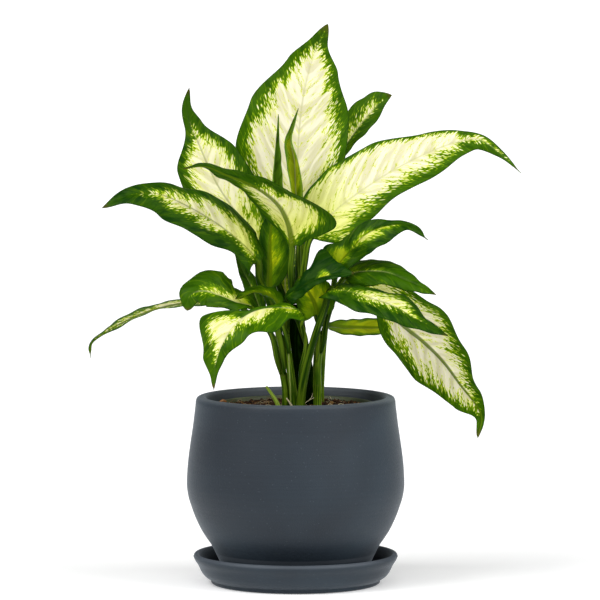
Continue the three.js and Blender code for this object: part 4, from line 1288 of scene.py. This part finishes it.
        rib=((7, 46, 252), (11, 64, 278.5), (15.5, 82, 308), (19.5, 96, 333.5), (23.5, 104, 355)),
        left=(5, 11, 21, 22, 14, 6), widest=0.42, face=((0, -0.8, 0.5), (0, -0.6, 0.8)),
        curl=(30, 30), wave=(1.5, 2), lime=0.15),
)}


@dataclass(frozen=True)
class Saucer:
    """The saucer: a stepped foot, a flared wall and a rolled rim."""

    foot: tuple[Pair, ...] = ((0.01, 0), (61.6, 0), (63.6, 0), (64.2, 0.5), (64.4, 1), (64.3, 2.4))
    wall: tuple[Pair, ...] = (
        (65.2, 3), (68.7, 5.2), (71.1, 7.8), (72.7, 10.7), (74.2, 14), (76.6, 17.6)
    )
    rim: tuple[Pair, ...] = ((77.8, 20.3), (77, 22.2), (75.4, 22.8), (73.8, 22))
    inside: tuple[Pair, ...] = ((70.6, 16), (68.2, 9.5), (64, 6.5))
    floor: tuple[Pair, ...] = ((62.4, 6.25), (40, 6.2), (0.01, 6.2))

    def build(self) -> Piece:
        """Turns the saucer.

        Returns:
            The piece.
        """
        curves = ((self.wall, 24), (self.rim, 16), (self.inside, 14))
        smooth = [smooth_run(pairs, count) for pairs, count in curves]
        mesh = turned(np.vstack([self.foot, *smooth, self.floor]))
        return Piece("glazed_saucer", mesh, GLAZE, "saucer")


@dataclass(frozen=True)
class OuterPot:
    """The ceramic pot: a full belly under a thick rounded lip."""

    FLOOR, TOP = 12.5, 142.7

    foot: tuple[Pair, ...] = ((0.01, 6.5), (50, 6.5), (51.5, 6.5), (52.4, 6.8), (53, 7.3))
    belly: tuple[Pair, ...] = (
        (54.2, 10), (57, 15), (60.4, 22), (64.3, 29.7), (68, 35), (71.8, 41.1), (74.8, 47.2),
        (77.4, 53.3), (79.5, 59.4), (81.4, 65.5), (82.7, 74), (82.5, 84), (81.8, 93), (80.7, 102),
        (79.4, 111), (78, 120.3), (76.9, 129.4), (76.1, 136),
    )
    lip: tuple[Pair, ...] = (
        (75.9, TOP - 3.6), (74.8, TOP - 1.1), (71.8, TOP), (69.2, TOP - 0.4), (67.4, TOP - 2.4)
    )
    inside: tuple[Pair, ...] = (
        (66.8, 134), (67.4, 120), (68.6, 100), (70, 76), (66, 52), (58, 34), (50, 18)
    )
    base: tuple[Pair, ...] = ((46, FLOOR), (20, FLOOR), (0.01, FLOOR))

    def build(self) -> Piece:
        """Turns the pot.

        Returns:
            The piece.
        """
        curves = ((self.belly, 60), (self.lip, 22), (self.inside, 30))
        smooth = [smooth_run(pairs, count) for pairs, count in curves]
        mesh = turned(np.vstack([self.foot, *smooth, self.base]), 160)
        return Piece("glazed_pot", mesh, GLAZE, "outer_pot")


@dataclass(frozen=True)
class NurseryPot:
    """The thin grow pot inside, with a rolled rim."""

    rim_radius: float = 60.0
    top: float = 137.3
    wall: float = 1.4
    foot_radius: float = 44.0

    def build(self) -> Piece:
        """Turns the grow pot.

        Returns:
            The piece.
        """
        low, rim, neck = OuterPot.FLOOR + GAP, self.rim_radius, self.rim_radius - 2.2
        # The rolled rim, as steps in from its radius and down from the top.
        steps = ((0.2, 4.6), (0, 4.2), (0, 0.8), (0.3, 0.2), (1.2, 0), (2.2, 0.1), (2.8, 0.5))
        roll = [(rim - inward, self.top - down) for inward, down in steps]
        foot = [(0.01, low), (self.foot_radius - 1, low), (self.foot_radius, low + 0.6)]
        floor = [(self.foot_radius - self.wall, low + self.wall), (0.01, low + self.wall)]
        shoulder = self.top - 5
        profile = [*foot, (neck, shoulder), *roll, (neck - self.wall, shoulder), *floor]
        return Piece("grow_pot", turned(np.array(profile), 120), PLASTIC, "nursery_pot")


@dataclass(frozen=True)
class Soil:
    """The soil: a heaped bed with crumbs, bark, fibres and torn sheaths lying on it."""

    top_radius: float = 55.7
    bottom_radius: float = 42.3
    bottom: float = 14.5
    crumbs: int = 2600
    fibres: int = 150
    seed: int = 11
    # Strands listed one by one, with how thick and how brown each one is.
    placed: tuple[tuple[tuple[Point, ...], float, float], ...] = (
        (((2, -17, 134), (6.4, -17, 138.4), (10, -17, 141), (14, -16, 143)), 0.38, 0.0),
        (((10, -17, 141), (12, -17.3, 143.4), (12.9, -17.5, 146.4)), 0.3, 0.0),
        (((-2.6, -14.4, 136), (-4.4, -14.6, 139), (-7, -14.4, 142.6)), 0.95, 0.05),
        (((-57, -4, 138), (-55, -4.4, 139.6), (-52.4, -5, 138.6)), 1.5, 0.9),
        (((30, -6, 135), (34, -7, 137.5), (38, -6, 136.4)), 0.3, 0.0),
        (((22, -12, 135), (26, -13, 138), (29, -10, 136)), 0.28, 0.1),
    )

    HEAP = (27, 12)
    RINGS = 90
    # Height of the bed over the soil's level, by radius.
    RADII = (0, 9, 18, 28, 38, 48, 54.5, 55.7)
    RISES = (0.7, 0.6, 0.5, 0.4, 0.5, 0.8, 0.9, 0.3)
    # The triangles of a ball with 12 corners and 20 sides.
    BALL = (
        (0, 11, 5), (0, 5, 1), (0, 1, 7), (0, 7, 10), (0, 10, 11), (1, 5, 9), (5, 11, 4),
        (11, 10, 2), (10, 7, 6), (7, 1, 8), (3, 9, 4), (3, 4, 2), (3, 2, 6), (3, 6, 8),
        (3, 8, 9), (4, 9, 5), (2, 4, 11), (6, 2, 10), (8, 6, 7), (9, 8, 1),
    )

    def _heap(self, x: np.ndarray, y: np.ndarray, spread: float) -> np.ndarray:
        """A share that is 1 on the heap and dies away round it."""
        return np.exp(-((x - self.HEAP[0]) ** 2 + (y - self.HEAP[1]) ** 2) / spread)

    def height(self, x: np.ndarray, y: np.ndarray) -> np.ndarray:
        """Height of the bed above a place.

        Args:
            x: How far to the right.
            y: How far to the back.

        Returns:
            The height at each place.
        """
        base = np.interp(np.hypot(x, y), self.RADII, self.RISES)
        swell = 0.5 * np.sin(x * 0.31 + 1) * np.cos(y * 0.27)
        return SOIL_LEVEL + base + 2.4 * self._heap(x, y, 130) + swell

    def bed(self) -> Piece:
        """The bed itself, uneven on top.

        Returns:
            The piece, which stands for the soil.
        """
        inward = np.linspace(self.top_radius, 0.01, self.RINGS)
        radii = np.concatenate([[0.01, self.bottom_radius], inward])
        heights = np.concatenate([[self.bottom, self.bottom], np.full(self.RINGS, SOIL_LEVEL)])
        points, faces = turned(np.stack([radii, heights], axis=1), 200)
        on_top = points[:, 2] > SOIL_LEVEL - 3
        x, y = points[on_top, 0], points[on_top, 1]
        uneven = 0.55 * ripples(x / 9, y / 9, 3) + 0.22 * ripples(x / 2.2, y / 2.2, 4, 3)
        points[on_top, 2] = self.height(x, y) + uneven - 0.5
        tone = np.clip(0.25 + 0.25 * ripples(points[:, 0] / 6, points[:, 1] / 6, 8), 0, 1)
        return Piece("soil_bed", (points, faces), SOIL, "soil", {"tone": tone})

    def _scatter(self, rng: np.random.Generator, count: int) -> np.ndarray:
        """Places on the bed, clear of its rim.

        Args:
            rng: Where their chances come from.
            count: How many.

        Returns:
            The places.
        """
        radius = (self.top_radius - 1.5) * np.sqrt(rng.uniform(0, 1, count))
        turn = rng.uniform(0, 2 * math.pi, count)
        x, y = radius * np.cos(turn), radius * np.sin(turn)
        return np.stack([x, y, self.height(x, y)], axis=1)

    def crumb_layer(self) -> Piece:
        """Crumbs of peat and bark, larger on the heap.

        Returns:
            One piece with all of them.
        """
        rng = np.random.default_rng(self.seed)
        golden = (1 + math.sqrt(5)) / 2
        quad = np.array([(-1, golden, 0), (1, golden, 0), (-1, -golden, 0), (1, -golden, 0)])
        corners = np.vstack([np.roll(quad, places, axis=1) for places in range(3)]) / golden
        count = len(corners)
        spots = self._scatter(rng, self.crumbs)
        size = 0.35 + 1.0 * rng.uniform(0, 1, self.crumbs) ** 3
        size *= 1 + 0.5 * self._heap(spots[:, 0], spots[:, 1], 180)
        stretch = rng.uniform(0.55, 1.35, (self.crumbs, 1, 3)) * size[:, None, None]
        shape = corners * rng.uniform(0.7, 1.2, (self.crumbs, count, 1)) * stretch
        points = (shape + spots[:, None]).reshape(-1, 3)
        offsets = count * np.arange(self.crumbs)[:, None, None]
        faces = (np.array(self.BALL) + offsets).reshape(-1, 3).tolist()
        tone = np.repeat(rng.uniform(0, 1, self.crumbs) ** 1.6, count)
        return Piece("soil_crumbs", (points, faces), SOIL, fields={"tone": tone})

    def _strand(self, rng: np.random.Generator) -> tuple[np.ndarray, float, float]:
        """A curled strand that lies on the bed.

        Args:
            rng: Where its chances come from.

        Returns:
            Its points, how thick it is and how brown.
        """
        x, y, _ = self._scatter(rng, 1)[0]
        length, thick, tone = rng.uniform(4, 13), rng.uniform(0.08, 0.2), rng.uniform(0.1, 0.9)
        turn, bend = rng.uniform(0, 2 * math.pi), rng.uniform(-0.9, 0.9)
        lift = rng.uniform(0.2, 3.0)
        steps = np.linspace(-0.5, 0.5, 5) * length
        heading = turn + bend * steps / length * 2
        xs, ys = x + steps * np.cos(heading), y + steps * np.sin(heading)
        inside = np.minimum(1.0, (self.top_radius - 1) / np.maximum(np.hypot(xs, ys), 1e-6))
        xs, ys = xs * inside, ys * inside
        arch = lift * bell(steps / length, 0.35) * rng.uniform(0.2, 1.0)
        return np.stack([xs, ys, self.height(xs, ys) + 0.5 + arch], axis=1), thick, tone

    def fibre_layer(self) -> Piece:
        """Thin roots and coconut fibres, curled over the crumbs.

        Returns:
            One piece with all of them.
        """
        rng = np.random.default_rng(self.seed + 1)
        strands = [*self.placed, *(self._strand(rng) for _ in range(self.fibres))]
        points, faces, tones, offset = [], [], [], 0
        for line, thick, tone in strands:
            skin, sides = loft(tube(Line(line), np.linspace(thick, thick * 0.5, 9), 6))
            points.append(skin)
            faces += [[corner + offset for corner in side] for side in sides]
            tones.append(np.full(len(skin), tone))
            offset += len(skin)
        fields = {"tone": np.concatenate(tones)}
        return Piece("soil_fibres", (np.vstack(points), faces), FIBRE, fields=fields)

    def build(self) -> list[Piece]:
        """Builds the bed and what lies on it."""
        return [self.bed(), self.crumb_layer(), self.fibre_layer()]


@dataclass(frozen=True)
class Stub:
    """The broken stub of an old shoot: a flat sliver that leans out of the soil."""

    line: tuple[Point, ...] = (
        (-12.6, -12, 122), (-13.2, -12, 136), (-16.6, -12, 143), (-22.3, -12, 151.2)
    )
    radius: Pair = (2.4, 1.1)

    RINGS, SIDES = 40, 24

    def build(self) -> Piece:
        """Lofts the stub.

        Returns:
            The piece.
        """
        path = Line(self.line)
        radius = np.linspace(*self.radius, self.RINGS)
        angle = angles(self.SIDES)
        even = np.ones((self.RINGS, self.SIDES))
        distance = np.linspace(0, path.total, self.RINGS)[:, None] * even
        fields = {
            "around": np.abs(angle - math.pi) * radius[:, None],
            "height": distance - 12,
            "crease": bell(angle - 1.2, 0.25) * even,
            "ring": bell(distance - path.total, 1.2),
        }
        fields = {key: ends_too(values) for key, values in fields.items()}
        mesh = loft(tube(path, radius, self.SIDES, flat=0.62, turn=0.5))
        return Piece("old_shoot", mesh, SHOOT, "broken_stub", fields)


@dataclass(frozen=True)
class Studio:
    """A plain pale floor, soft lights and the camera at the photograph's angle."""

    camera_place: Point = (0.00334, -4.0, 0.557)
    pitch: float = 4.875
    lens: float = 317.5
    # Each sun's strength, how wide it looks, its bearing to the right of the camera, its height.
    suns: tuple[tuple[str, float, float, float, float], ...] = (
        ("key_light", 2.1, 38, -58, 42),
        ("top_light", 1.0, 45, -5, 48),
        ("fill_light", 1.75, 45, 65, 38),
        ("front_light", 0.45, 35, 35, 12),
    )

    @staticmethod
    def _add(name: str, data: bpy.types.ID) -> bpy.types.Object:
        """Puts an object into the scene.

        Args:
            name: Its name.
            data: Its mesh, light or camera.

        Returns:
            The object.
        """
        made = bpy.data.objects.new(name, data)
        bpy.context.scene.collection.objects.link(made)
        return made

    def floor(self) -> None:
        """Lays the floor, a wide disc."""
        turn = angles(96)
        radii = (0.5, 3.0, 60.0)
        spots = [(r * math.cos(a), r * math.sin(a), -0.0003) for r in radii for a in turn]
        index = np.arange(len(spots)).reshape(-1, len(turn))
        ahead = np.roll(index, -1, axis=1)
        quads = np.stack([index[:-1], index[1:], ahead[1:], ahead[:-1]], axis=-1).reshape(-1, 4)
        mesh = bpy.data.meshes.new("studio_floor")
        mesh.from_pydata(spots, [], [*quads.tolist(), index[0].tolist()])
        mesh.materials.append(FLOOR.make())
        self._add("studio_floor", mesh)

    def lights(self) -> None:
        """Hangs the lights and sets the surroundings."""
        for name, strength, spread, bearing, height in self.suns:
            lamp = bpy.data.lights.new(name, "SUN")
            lamp.energy, lamp.angle = strength, math.radians(spread)
            made = self._add(name, lamp)
            made.rotation_euler = (math.radians(90 - height), 0.0, math.radians(bearing))
        world = bpy.data.worlds.new("studio")
        world.use_nodes = True
        backdrop = world.node_tree.nodes["Background"]
        backdrop.inputs["Color"].default_value = (0.97, 0.98, 1.0, 1.0)
        backdrop.inputs["Strength"].default_value = 0.1
        bpy.context.scene.world = world

    def camera(self) -> None:
        """Stands the camera where the photograph was taken from."""
        eye = bpy.data.cameras.new("photo_camera")
        eye.lens, eye.sensor_width, eye.clip_end = self.lens, 36.0, 200.0
        made = self._add("photo_camera", eye)
        made.location = self.camera_place
        made.rotation_euler = (math.radians(90 - self.pitch), 0.0, 0.0)
        bpy.context.scene.camera = made
        bpy.context.scene.view_settings.view_transform = "Standard"

    def build(self) -> None:
        """Sets up the studio."""
        self.floor()
        self.lights()
        self.camera()
        LOG.info("studio ready")


def main() -> None:
    """Builds the studio, the pots, the soil and the plant."""
    logging.basicConfig(level=logging.INFO, format="%(message)s")
    Studio().build()
    finishes = (LEAF, YOUNG_LEAF, STEM, SHADED_TRUNK, SHOOT, GLAZE, PLASTIC, SOIL, FIBRE)
    materials = {finish.name: finish.make() for finish in finishes}
    pieces = [Saucer().build(), OuterPot().build(), NurseryPot().build(), *Soil().build()]
    pieces += [Stub().build(), *(stem.build() for stem in STEMS.values())]
    pieces += [leaf.build(seed) for seed, leaf in enumerate(LEAVES.values(), 1)]
    for piece in pieces:
        piece.place(materials[piece.finish.name])


if __name__ == "__main__":
    main()
